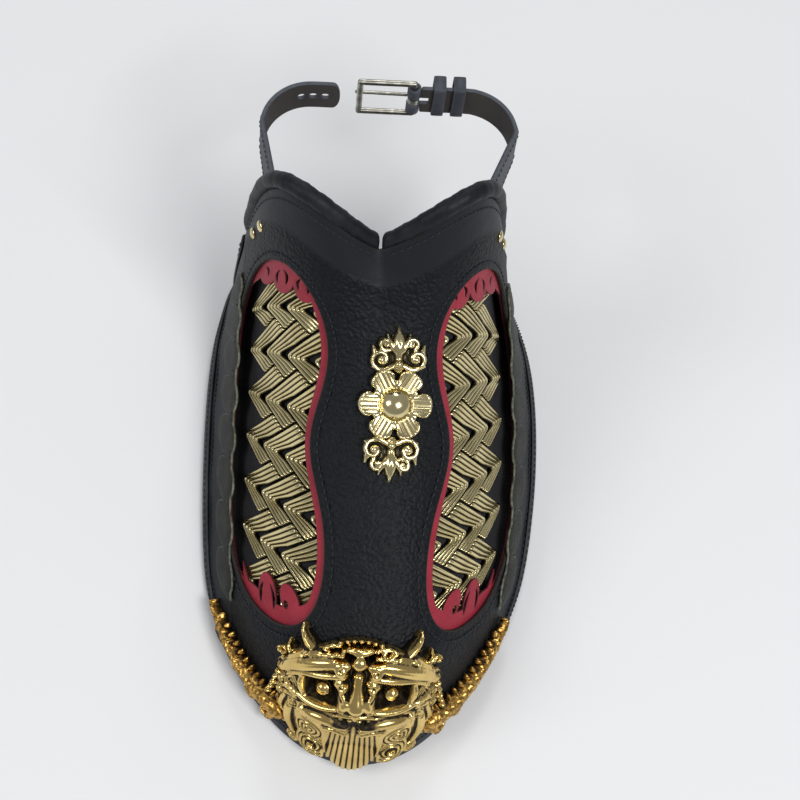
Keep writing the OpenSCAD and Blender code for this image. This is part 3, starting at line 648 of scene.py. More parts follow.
class Value:
    """A socket of a finish's node tree that takes part in sums."""

    def __init__(self, recipe: "Recipe", socket: Optional[bpy.types.NodeSocket]) -> None:
        """Keeps the tree and the socket."""
        self.recipe, self.socket = recipe, socket

    def _sum(self, operation: str, first: object, second: object) -> "Value":
        """A Math node on two values."""
        return self.recipe.node("ShaderNodeMath", {"operation": operation}, {0: first, 1: second})

    def __add__(self, other: object) -> "Value":
        """self + other."""
        return self._sum("ADD", self, other)

    def __radd__(self, other: object) -> "Value":
        """other + self."""
        return self._sum("ADD", other, self)

    def __sub__(self, other: object) -> "Value":
        """self - other."""
        return self._sum("SUBTRACT", self, other)

    def __rsub__(self, other: object) -> "Value":
        """other - self."""
        return self._sum("SUBTRACT", other, self)

    def __mul__(self, other: object) -> "Value":
        """self * other."""
        return self._sum("MULTIPLY", self, other)

    def __rmul__(self, other: object) -> "Value":
        """other * self."""
        return self._sum("MULTIPLY", other, self)

    def between(self, low: float, high: float) -> "Value":
        """0 below low, 1 above high, smooth between them."""
        settings = {"interpolation_type": "SMOOTHSTEP"}
        return self.recipe.node("ShaderNodeMapRange", settings, {0: self, 1: low, 2: high})


class Recipe:
    """One finish's node tree, with a Principled shader at its end."""

    def __init__(self, name: str) -> None:
        """Starts an empty tree."""
        self.material = bpy.data.materials.new(name)
        self.material.use_nodes = True
        self.tree = self.material.node_tree
        self.tree.nodes.clear()

    def node(
        self,
        kind: str,
        settings: Optional[dict] = None,
        sockets: Optional[dict] = None,
        output: object = 0,
    ) -> Value:
        """Adds a node.

        Args:
            kind: the node's type.
            settings: its properties.
            sockets: values or links of its inputs, by name or number.
            output: name or number of the output to return.

        Returns:
            That output, or an empty value where the node has none.
        """
        made = self.tree.nodes.new(kind)
        for key, value in (settings or {}).items():
            setattr(made, key, value)
        for key, value in (sockets or {}).items():
            if isinstance(value, Value):
                self.tree.links.new(value.socket, made.inputs[key])
            else:
                made.inputs[key].default_value = value
        return Value(self, made.outputs[output] if len(made.outputs) else None)

    def place(self) -> Value:
        """The point on the piece, in metres at rest."""
        return self.node("ShaderNodeTexCoord", output="Object")

    def value(self, name: str) -> Value:
        """A named value of the mesh."""
        return self.node("ShaderNodeAttribute", {"attribute_name": name}, output="Fac")

    def grained(self, grain: float, where: Optional[Value] = None, **more: float) -> dict:
        """The inputs of a texture whose grains are so many millimetres across."""
        return {"Vector": where or self.place(), "Scale": 1 / (grain * MM), **more}

    def noise(
        self, grain: float, detail: float = 2.0, where: Optional[Value] = None, rough: float = 0.5
    ) -> Value:
        """Noise whose grains are so many millimetres across."""
        sockets = self.grained(grain, where, Detail=detail, Roughness=rough)
        return self.node("ShaderNodeTexNoise", None, sockets, "Fac")

    def cells(self, grain: float, where: Value, feature: str = "F1") -> Value:
        """Distance inside cells that are so many millimetres across."""
        sockets = self.grained(grain, where)
        return self.node("ShaderNodeTexVoronoi", {"feature": feature}, sockets, "Distance")

    def patches(self, grain: float, low: float, high: float, detail: float = 3.0) -> Value:
        """Soft patches of noise, 0 below low and 1 above high."""
        return self.noise(grain, detail).between(low, high)

    def warped(self, grain: float, reach: float) -> Value:
        """The place, pushed about by noise over so many millimetres."""
        push = self.node("ShaderNodeTexNoise", None, self.grained(grain, Detail=1.0), "Color")
        sockets = {0: push, "Scale": reach * MM}
        push = self.node("ShaderNodeVectorMath", {"operation": "SCALE"}, sockets)
        return self.node("ShaderNodeVectorMath", {"operation": "ADD"}, {0: self.place(), 1: push})

    def mixed(self, share: object, first: object, second: object) -> Value:
        """One colour turning into another by share."""
        sockets = {0: share, 6: rgba(first), 7: rgba(second)}
        return self.node("ShaderNodeMix", {"data_type": "RGBA"}, sockets, 2)

    def bumped(self, height: Value, strength: float, depth: float) -> Value:
        """A normal from heights, depth in millimetres for a height of one."""
        sockets = {"Height": height, "Strength": strength, "Distance": depth * MM}
        return self.node("ShaderNodeBump", None, sockets)

    def done(
        self, colour: Value, rough: object, normal: Value, metal: object = 0, specular: float = 0.5
    ) -> bpy.types.Material:
        """Ends the tree with a Principled shader that has these inputs, and gives the material."""
        inputs = {"Base Color": colour, "Roughness": rough, "Metallic": metal, "Normal": normal}
        inputs["Specular IOR Level"] = specular
        shader = self.node("ShaderNodeBsdfPrincipled", None, inputs)
        self.node("ShaderNodeOutputMaterial", None, {"Surface": shader})
        return self.material


def rgba(colour: object) -> object:
    """A colour with its alpha, or the value unchanged."""
    return (*colour, 1.0) if isinstance(colour, tuple) and len(colour) == 3 else colour


@dataclass(frozen=True)
class CoverLeather:
    """Black leather: pebbled between the windows, with painted shade in the pebbles' valleys,
    smooth and greyer along the skirts and ears.
    """

    pebbled: tuple = (0.0045, 0.0056, 0.0076)
    smooth: tuple = (0.0120, 0.0135, 0.0175)
    mottled: tuple = (0.0090, 0.0105, 0.0135)
    valley: tuple = (0.0025, 0.003, 0.004)
    cut_edge: tuple = (0.040, 0.034, 0.031)
    pebble: float = 1.35
    pore: float = 0.35
    crease: float = 7.0
    patch: float = 18.0
    rough: float = 0.40
    relief: float = 0.55
    specular: float = 0.18

    def material(self) -> bpy.types.Material:
        """Builds the finish."""
        r = Recipe("cover_leather")
        band = r.value("band")
        edge = 1 - r.value("edge").between(0.1, 0.9)
        pebbles = r.cells(self.pebble, r.warped(3.0, 0.7), "SMOOTH_F1")
        fine = r.noise(self.pore, 3.0)
        creases = r.noise(self.crease, 4.0, r.warped(14.0, 5.0), 0.6)
        colour = r.mixed(band, self.pebbled, self.smooth)
        colour = r.mixed(r.patches(self.patch, 0.3, 0.75) * 0.3, colour, self.mottled)
        # Painted shade: the pebbles' valleys on the pebbled middle are darkened towards the valley
        # colour.
        colour = r.mixed(pebbles.between(0.25, 0.7) * (1 - band) * 0.6, colour, self.valley)
        colour = r.mixed(edge * 0.8, colour, self.cut_edge)
        rough = self.rough + fine * 0.12 + pebbles * 0.12 * (1 - band) + edge * 0.2
        height = (1 - pebbles) * (1 - band) + fine * 0.18 + creases * 0.5
        normal = r.bumped(height, 1.0, self.relief)
        return r.done(colour, rough, normal, specular=self.specular)


@dataclass(frozen=True)
class SmoothLeather:
    """Smooth dyed leather with fine pores, soft creases darkened by painted shade, and rubbed
    edges.
    """

    name: str
    colour: tuple
    worn: tuple
    rough: float = 0.42
    crease: float = 5.0
    crease_depth: float = 0.25
    rib: float = 0.0
    pore: float = 0.5
    patch: float = 14.0
    specular: float = 0.2

    def material(self) -> bpy.types.Material:
        """Builds the finish."""
        r = Recipe(self.name)
        edge = 1 - r.value("edge").between(0.05, 0.7)
        pores = r.cells(self.pore, r.warped(2.0, 0.4))
        creases = r.noise(self.crease, 4.0, r.warped(9.0, 4.0), 0.62)
        colour = r.mixed(r.patches(self.patch, 0.35, 0.75) * 0.5, self.colour, self.worn)
        colour = r.mixed(edge * 0.7, colour, self.worn)
        # Painted shade: the low parts of the creases are darkened towards deep, 0.45 of the colour.
        deep = tuple(0.45 * c for c in self.colour)
        colour = r.mixed(creases.between(0.55, 0.3) * 0.3, colour, deep)
        height = pores * 0.3 + creases
        if self.rib:
            height = height + r.value("rib") * self.rib
        rough = self.rough + creases * 0.14
        normal = r.bumped(height, 0.5, self.crease_depth)
        return r.done(colour, rough, normal, specular=self.specular)


@dataclass(frozen=True)
class Suede:
    """The flesh side of the leather."""

    colour: tuple = (0.050, 0.044, 0.041)
    patched: tuple = (0.028, 0.026, 0.026)
    raised: tuple = (0.085, 0.075, 0.070)
    fibre: float = 0.5
    patch: float = 12.0
    rough: float = 0.82

    def material(self) -> bpy.types.Material:
        """Builds the finish."""
        r = Recipe("suede_back")
        nap = r.noise(self.fibre, 4.0, None, 0.7)
        colour = r.mixed(r.patches(self.patch, 0.3, 0.7) * 0.6, self.colour, self.patched)
        colour = r.mixed(nap * 0.3, colour, self.raised)
        normal = r.bumped(nap, 0.6, 0.3)
        return r.done(colour, self.rough + nap * 0.15, normal)


@dataclass(frozen=True)
class WovenLining:
    """Close black woven lining cloth."""

    colour: tuple = (0.010, 0.010, 0.012)
    crossing: tuple = (0.024, 0.024, 0.027)
    fluff: tuple = (0.034, 0.034, 0.037)
    yarn: float = 0.7
    wave_turns: float = 6.283
    fibre: float = 0.4
    rough: float = 0.86

    def material(self) -> bpy.types.Material:
        """Builds the finish."""
        r = Recipe("woven_lining")
        waves = r.grained(self.yarn * self.wave_turns, r.warped(6.0, 0.15), Distortion=0.4)
        warp = r.node("ShaderNodeTexWave", {"bands_direction": "X"}, waves, "Fac")
        weft = r.node("ShaderNodeTexWave", {"bands_direction": "Y"}, waves, "Fac")
        weave = warp * 0.5 + weft * 0.5
        fuzz = r.noise(self.fibre, 3.0)
        colour = r.mixed(weave, self.colour, self.crossing)
        colour = r.mixed(fuzz * 0.3, colour, self.fluff)
        normal = r.bumped(weave + fuzz * 0.4, 0.7, 0.25)
        return r.done(colour, self.rough + fuzz * 0.1, normal)


@dataclass(frozen=True)
class RedLeather:
    """Red dyed leather with darker burnished edges."""

    colour: tuple = (0.310, 0.014, 0.030)
    light: tuple = (0.440, 0.036, 0.064)
    burnished: tuple = (0.060, 0.005, 0.010)
    pored: tuple = (0.12, 0.008, 0.016)
    pore: float = 0.45
    patch: float = 9.0
    crease: float = 3.0
    rough: float = 0.48
    specular: float = 0.35

    def material(self) -> bpy.types.Material:
        """Builds the finish."""
        r = Recipe("red_leather")
        edge = 1 - r.value("edge").between(0.0, 0.55)
        grain = r.cells(self.pore, r.warped(2.0, 0.5))
        colour = r.mixed(r.patches(self.patch, 0.3, 0.7) * 0.45, self.colour, self.light)
        colour = r.mixed(edge, colour, self.burnished)
        colour = r.mixed(grain.between(0.3, 0.6) * 0.25, colour, self.pored)
        normal = r.bumped(grain * 0.5 + r.noise(self.crease, 3.0) * 0.6, 0.45, 0.2)
        rough = self.rough + grain * 0.2
        return r.done(colour, rough, normal, specular=self.specular)


@dataclass(frozen=True)
class EdgingLeather:
    """Dark olive leather with pale rims, partly raw edge and partly painted highlight."""

    colour: tuple = (0.0070, 0.0078, 0.0052)
    mottled: tuple = (0.020, 0.022, 0.016)
    # The rim colour is partly raw edge and partly a painted highlight.
    rim: tuple = (0.200, 0.205, 0.150)
    grain: float = 0.8
    patch: float = 8.0
    rubbed: float = 2.4
    rough: float = 0.40
    specular: float = 0.25

    def material(self) -> bpy.types.Material:
        """Builds the finish."""
        r = Recipe("edging_leather")
        rim = 1 - r.value("edge").between(0.15, 0.6)
        wear = r.patches(self.rubbed, 0.35, 0.65)
        grain = r.noise(self.grain, 4.0, r.warped(3.0, 1.0), 0.65)
        colour = r.mixed(r.patches(self.patch, 0.3, 0.7, 2.0), self.colour, self.mottled)
        # Painted highlight and raw edge: the pale rim colour along the cut edge, patchy with wear.
        colour = r.mixed(rim * (0.35 + wear * 0.6), colour, self.rim)
        normal = r.bumped(grain, 0.8, 0.4)
        rough = self.rough + grain * 0.25
        return r.done(colour, rough, normal, specular=self.specular)


@dataclass(frozen=True)
class GiltMetal:
    """Plated metal: polished on its crests, dark in its hollows from painted shade with some
    patina.
    """

    name: str
    gold: tuple
    shade: tuple
    dark: tuple
    rough: float
    hollow_from: float
    hollow_to: float
    scaly: float = 0.0
    plate: float = 1.5
    smear: float = 2.6
    speck: float = 0.5
    tone: float = 11.0

    def material(self) -> bpy.types.Material:
        """Builds the finish."""
        r = Recipe(self.name)
        # Painted shade with some patina: the hollow value darkens the colour towards dark, standing
        # in for occlusion.
        hollow = r.value("hollow").between(self.hollow_from, self.hollow_to)
        smear = r.noise(self.smear, 4.0, r.warped(6.0, 3.0), 0.6)
        specks = r.noise(self.speck, 3.0)
        colour = r.mixed(r.patches(self.tone, 0.35, 0.7, 2.0) * 0.5, self.gold, self.shade)
        colour = r.mixed(hollow * (0.8 + smear * 0.4), colour, self.dark)
        height = smear * 0.5 + specks * 0.25
        if self.scaly:
            plates = r.cells(self.plate, r.warped(4.0, 1.0))
            height = height - plates * self.scaly
            # Painted shade: the grooves between the scaly plates are darkened towards dark.
            colour = r.mixed(plates.between(0.35, 0.7) * 0.6, colour, self.dark)
        rough = self.rough + smear * 0.08 + hollow * 0.35
        metal = 1 - hollow * 0.35
        normal = r.bumped(height, 0.35, 0.12)
        return r.done(colour, rough, normal, metal)


@dataclass(frozen=True)
class BuckleSteel:
    """Dull nickel-plated steel."""

    colour: tuple = (0.300, 0.290, 0.250)
    rubbed: tuple = (0.52, 0.50, 0.44)
    brush: float = 0.9
    patch: float = 3.0
    rough: float = 0.24

    def material(self) -> bpy.types.Material:
        """Builds the finish."""
        r = Recipe("buckle_nickel")
        brush = r.noise(self.brush, 4.0, r.warped(3.0, 1.5), 0.6)
        colour = r.mixed(r.patches(self.patch, 0.4, 0.7), self.colour, self.rubbed)
        normal = r.bumped(brush, 0.3, 0.1)
        rough = self.rough + brush * 0.2
        return r.done(colour, rough, normal, 1.0)


@dataclass(frozen=True)
class WaxedThread:
    """Waxed black thread."""

    colour: tuple = (0.010, 0.011, 0.016)
    waxed: tuple = (0.030, 0.032, 0.040)
    ply: float = 0.25
    rough: float = 0.5
    specular: float = 0.25

    def material(self) -> bpy.types.Material:
        """Builds the finish."""
        r = Recipe("waxed_thread")
        ply = r.noise(self.ply, 2.0)
        colour = r.mixed(ply, self.colour, self.waxed)
        normal = r.bumped(ply, 0.6, 0.1)
        rough = self.rough + ply * 0.2
        return r.done(colour, rough, normal, specular=self.specular)


@dataclass(frozen=True)
class StudioPaper:
    """Pale paper of the floor."""

    colour: tuple = (0.77, 0.775, 0.78)
    shaded: tuple = (0.71, 0.715, 0.72)
    tooth: float = 2.0
    rough: float = 0.9

    def material(self) -> bpy.types.Material:
        """Builds the finish."""
        r = Recipe("studio_paper")
        tooth = r.noise(self.tooth, 3.0)
        colour = r.mixed(tooth * 0.15, self.colour, self.shaded)
        return r.done(colour, self.rough, r.bumped(tooth, 0.2, 0.1))


class Finishes:
    """Every finish of the sabaton, made once."""

    def __init__(self) -> None:
        """Builds the materials."""
        self.cover = CoverLeather().material()
        self.suede = Suede().material()
        self.binding = SmoothLeather(
            "binding_fold_leather", (0.024, 0.026, 0.031), (0.085, 0.084, 0.084), 0.4
        ).material()
        self.collar = SmoothLeather(
            "collar_nappa", (0.0080, 0.0090, 0.0115), (0.022, 0.024, 0.030), 0.42, 2.6, 0.4, 0.9
        ).material()
        self.strap = SmoothLeather(
            "strap_hide", (0.042, 0.047, 0.059), (0.090, 0.098, 0.116), 0.42, 4.0
        ).material()
        self.lining = WovenLining().material()
        self.red = RedLeather().material()
        self.edging = EdgingLeather().material()
        pressed, bright = (0.74, 0.64, 0.35), (0.80, 0.59, 0.22)
        pale, satin = (0.78, 0.67, 0.37), (0.76, 0.46, 0.12)
        # Each gilt's third colour is the painted shade of its hollows.
        self.scale = GiltMetal(
            "pale_gilt_scale", pressed, (0.42, 0.34, 0.15), (0.016, 0.013, 0.004), 0.14, 0.15, 0.75
        ).material()
        self.casting = GiltMetal(
            "bright_gilt_casting", bright, (0.5, 0.33, 0.1), (0.012, 0.007, 0.002), 0.13, 0.05, 0.45
        ).material()
        self.flower = GiltMetal(
            "pale_gilt_casting", pale, (0.46, 0.36, 0.16), (0.014, 0.011, 0.004), 0.13, 0.05, 0.45
        ).material()
        self.wing = GiltMetal(
            "satin_gilt_wing", satin, (0.46, 0.23, 0.05), (0.035, 0.016, 0.003), 0.26, 0.1, 0.6, 1.6
        ).material()
        self.steel = BuckleSteel().material()
        self.thread = WaxedThread().material()


@dataclass
class Workshop:
    """What every sub-assembly needs: the form, the finishes and a way to fit a piece."""

    form: FootForm
    finishes: Finishes

    def fit(
        self,
        piece: bpy.types.Object,
        finish: bpy.types.Material,
        slot: str,
        nodes: tuple = (),
        body: Body = Body.COVER,
        under: Optional[bpy.types.Material] = None,
    ) -> bpy.types.Object:
        """Dresses a piece and fixes it to its body.

        Args:
            piece: the mesh object.
            finish: its material.
            slot: the record's material slot; not used.
            nodes: the CAD nodes that it stands for.
            body: the body that it rides on.
            under: a second material, for the lower face.

        Returns:
            The piece.
        """
        piece.data.materials.append(finish)
        if under is not None:
            piece.data.materials.append(under)
        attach(piece, body.value)
        if nodes:
            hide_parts(*nodes)
        LOG.info("%s: %d faces", piece.name, len(piece.data.polygons))
        return piece

    def sew(self, name: str, lines: list, height: float, slot: str, laid: Laying) -> None:
        """Stitches of waxed thread along flat lines, laid on a surface at a height."""
        self.fit(stitched(name, lines, laid, height), self.finishes.thread, slot)


# ---- cover


@dataclass
class Window:
    """The outline of the windows, the same on both sides."""

    toe: float = 1.2
    ankle: float = 5.2
    outer_t: float = 0.78
    end_t: float = 0.205
    waist_t: float = 31 / 104
    waist_u: float = 3.3
    waist_spread: float = 0.65

    def inner_t(self, u: Array) -> Array:
        """The ridge side's place at u."""
        waist = bell(u - self.waist_u, self.waist_spread)
        return self.end_t + (self.waist_t - self.end_t) * waist

    def loop(self, form: FootForm) -> Array:
        """The window's edge on the right side as a flat loop."""
        s = np.sin(np.radians(np.linspace(-90, 90, 90)))
        share = np.maximum(0, 1 - np.abs(s) ** 5) ** 0.45
        u = (self.toe + self.ankle) / 2 + (self.ankle - self.toe) / 2 * s
        low = self.inner_t(u)
        middle, half = (low + self.outer_t) / 2, (self.outer_t - low) / 2
        ridge, skirt = (
            np.stack([form.a_at(middle + way * half * share), form.b_at(u)], axis=1)
            for way in (-1, 1)
        )
        return resampled(np.vstack([ridge[:-1], skirt[:0:-1]]), 1.0)


@dataclass
class Cover:
    """The upper leather with its binding, collar rolls and stitching."""

    shop: Workshop
    corner: float = 5.0
    seam_inset: float = 3.4
    band_inset: float = 8.4
    collar_seam: float = 4.6
    window_seam: float = 4.2
    skirt_band: float = 92.0
    ear_band: float = 84.0
    binding_width: float = 5.0
    fold_gap: float = 0.32
    fold_leather: float = 0.9
    collar_radius: float = 3.4
    collar_end_t: float = 0.777

    def outline(self, inset: float = 0.0) -> Array:
        """The cover's whole edge as a flat loop, moved inward."""
        form = self.shop.form
        a = form.a_at(1.0) - inset
        low, high = (-a, form.b_at(0.0) + inset), (a, form.b_at(form.collar) - inset)
        radius = max(self.corner - 0.5 * inset, 1.5)
        return resampled(rounded_box(low, high, radius, 7), 1.5)

    def build(self, window: Window) -> None:
        """Makes the upper and everything sewn to its edges."""
        seam = closed_line(shifted(window.loop(self.shop.form), -self.window_seam))
        seams = [on_side(seam, side) for side in Side]
        self.upper(window, seams)
        self.binding()
        for side in Side:
            self.collar(side)
        self.stitching(seams)

    def upper(self, window: Window, seams: list) -> None:
        """The shell of leather with its two windows, dipped along the windows' seams."""
        form, finishes = self.shop.form, self.shop.finishes
        hole = window.loop(form)
        loops = [(Cut.ADD, self.outline())] + [(Cut.REMOVE, on_side(hole, side)) for side in Side]
        lines = [resampled(seam, 1.4, False) for seam in seams]
        pattern = FlatPattern(loops, 2.2, 1.2, 0.6, lines)

        def relief(flat: Array, distance: Array) -> Array:
            """Slack in the leather and the dip along the seams."""
            a, b = flat.T
            slack = 0.22 * np.sin(a * 0.13 + 1.3 * np.sin(b * 0.07)) * np.sin(b * 0.11 + 0.6)
            seam = np.min([line_distance(flat, line) for line in lines], axis=0)
            return slack * ramp(distance, 6) - 0.28 * bell(seam, 0.8)

        def band(flat: Array, distance: Array) -> Array:
            """One on the smooth skirt bands and ears, nought on the pebbled middle."""
            aside = np.abs(flat[:, 0])
            ear = ramp(flat[:, 1] - self.ear_band - 0.16 * aside, 3)
            return np.maximum(ramp(aside - self.skirt_band, 3), ear)

        piece = pattern.piece("cover_upper", form.panel, 0, -LEATHER, relief, {"band": band}, 1)
        nodes = ("upper_shell",)
        self.shop.fit(piece, finishes.cover, "black_leather", nodes, under=finishes.suede)

    def edge_path(self) -> Array:
        """The bound part of the edge: from the left ear round the toe to the right ear."""
        form = self.shop.form
        ring = self.outline()
        end = form.a_at(self.collar_end_t) + 1.5
        on_collar = (ring[:, 1] > form.b_at(form.collar) - 0.5) & (np.abs(ring[:, 0]) < end)
        first = int(np.argmax(on_collar & ~np.roll(on_collar, -1)))
        ring = np.roll(ring, -first - 1, axis=0)
        return ring[: int((~on_collar).sum())]

    def binding(self) -> None:
        """A leather fold over the skirt and toe edges, narrower at the ears' corners."""
        form = self.shop.form
        path = resampled(self.edge_path(), 2.0, False)
        inward = left_of(unit(np.gradient(path, axis=0)))
        far = self.fold_gap + self.fold_leather
        from_corner = np.linalg.norm(np.abs(path) - np.abs(self.outline()).max(0), axis=1)
        width = self.binding_width * (0.35 + 0.65 * np.minimum(1, from_corner / 14) ** 0.7)
        edge, n = form.panel(path, 0.0), unit(form.panel(path, 1.0) - form.panel(path, 0.0))
        out = unit(edge - form.panel(path + inward, 0.0))
        middle, low = edge - n * LEATHER / 2, edge - n * LEATHER
        radius = LEATHER / 2 + far

        def flap(swell: float) -> list:
            """A flap's section from its hidden side to the edge: share of the width, level."""
            levels = (self.fold_gap, far - 0.25, far, far + swell, far)
            return list(zip((-1.0, -1.0, -0.93, -0.5, 0), levels))

        rings = [edge + out * (width * share)[:, None] + n * up for share, up in flap(0.05)]
        for a in np.radians((60, 30, 0, -30, -60)):
            rings.append(middle + out * far * math.cos(a) + n * radius * math.sin(a))
        rings += [low + out * (width * share)[:, None] - n * up for share, up in flap(0.0)[::-1]]
        inner = (low - n * self.fold_gap, middle + out * self.fold_gap, edge + n * self.fold_gap)
        grid = np.stack([*rings, *inner], axis=1)
        grid[..., 2] = np.maximum(grid[..., 2], 0)
        count, sides = grid.shape[:2]
        rubbed = [0.0, 0.2, 0.5, 2.5, 3, 2.0, 1.2, 0.8, 1.2, 2, 3, 2.5, 0.5, 0.2, 0.0, 3, 3, 3]
        values = {"edge": np.tile(rubbed, count)}
        piece = build_mesh("binding_fold", grid.reshape(-1, 3), tube_faces(count, sides), values)
        self.shop.fit(piece, self.shop.finishes.binding, "binding_leather", ("lower_binding",))

    def collar(self, side: Side) -> None:
        """A padded roll along one ear, puckered and ribbed."""
        form = self.shop.form
        count, sides = 90, 20
        u, f = np.full(count, form.collar), np.linspace(0, 1, count)
        t = side.value * np.linspace(0.006, self.collar_end_t, count)
        n = form.outward(u, t)
        out = unit(np.cross(n, form.across(u, t)))
        ends = np.clip(np.minimum(f / 0.03, (1 - f) / 0.04), 0, 1) ** 0.5
        swell = 0.75 + 0.25 * np.sin(np.pi * np.clip(f, 0.001, 0.999)) ** 0.3
        radius = self.collar_radius * swell * (0.25 + 0.75 * ends)
        puckers = 1 + 0.035 * np.sin(f * 61) + 0.02 * np.sin(f * 143 + 1)
        middle = form.at(u, t, -LEATHER / 2) + out * (0.86 * radius + 0.1)[:, None]
        rings, rib = [], []
        for angle in ring_angles(sides):
            c, s = math.cos(angle), math.sin(angle)
            flatten = 1.0 if c > -0.6 else 0.93
            reach = (radius * puckers * flatten)[:, None]
            rings.append(middle + reach * (c * out - side.value * s * n))
            rib.append(0.5 + 0.5 * np.sin(f * 460) * max(0.0, -c))
        grid = np.stack(rings, axis=1).reshape(-1, 3)
        values = {"edge": np.full(count * sides, 3.0), "rib": np.stack(rib, axis=1).ravel()}
        piece = build_mesh(f"collar_roll_{side.label}", grid, tube_faces(count, sides), values)
        finish, node = self.shop.finishes.collar, f"collar_{side.label}"
        self.shop.fit(piece, finish, "collar_leather", (node,))

    def from_ear(self, inset: float) -> Array:
        """The cover's edge moved inward, starting at the middle of the collar."""
        edge = self.outline(inset)
        return np.roll(edge, -int(np.argmax(edge[:, 1] * 10 - np.abs(edge[:, 0]))), axis=0)

    def stitching(self, seams: list) -> None:
        """Stitches round the windows, along the binding, under the collar and on the band."""
        form, sew = self.shop.form, self.shop.sew
        top = form.b_at(form.collar)
        sew("window_stitching", seams, 0.02, "black_leather", form.panel)
        reach = np.linspace(3, 92, 60)
        under = [np.array([(s.value * a, top - self.collar_seam) for a in reach]) for s in Side]
        sew("collar_stitching", under, 0.1, "black_leather", form.panel)
        edge = self.from_ear(self.seam_inset)
        keep = ~((edge[:, 1] > top - self.seam_inset - 1) & (np.abs(edge[:, 0]) < 100))
        height = self.fold_gap + self.fold_leather + 0.15
        sew("binding_stitching", [edge[keep]], height, "binding_leather", form.panel)
        inner = self.from_ear(self.band_inset)
        aside, b = np.abs(inner[:, 0]), inner[:, 1]
        places = np.flatnonzero(~((b > top - 14) & (aside < 112)) & ~((b < -108) & (aside < 84)))
        groups = np.split(places, np.where(np.diff(places) > 1)[0] + 1)
        lines = [inner[group] for group in groups if len(group) > 4]
        sew("band_stitching", lines, 0.12, "black_leather", form.panel)


# ---- windows


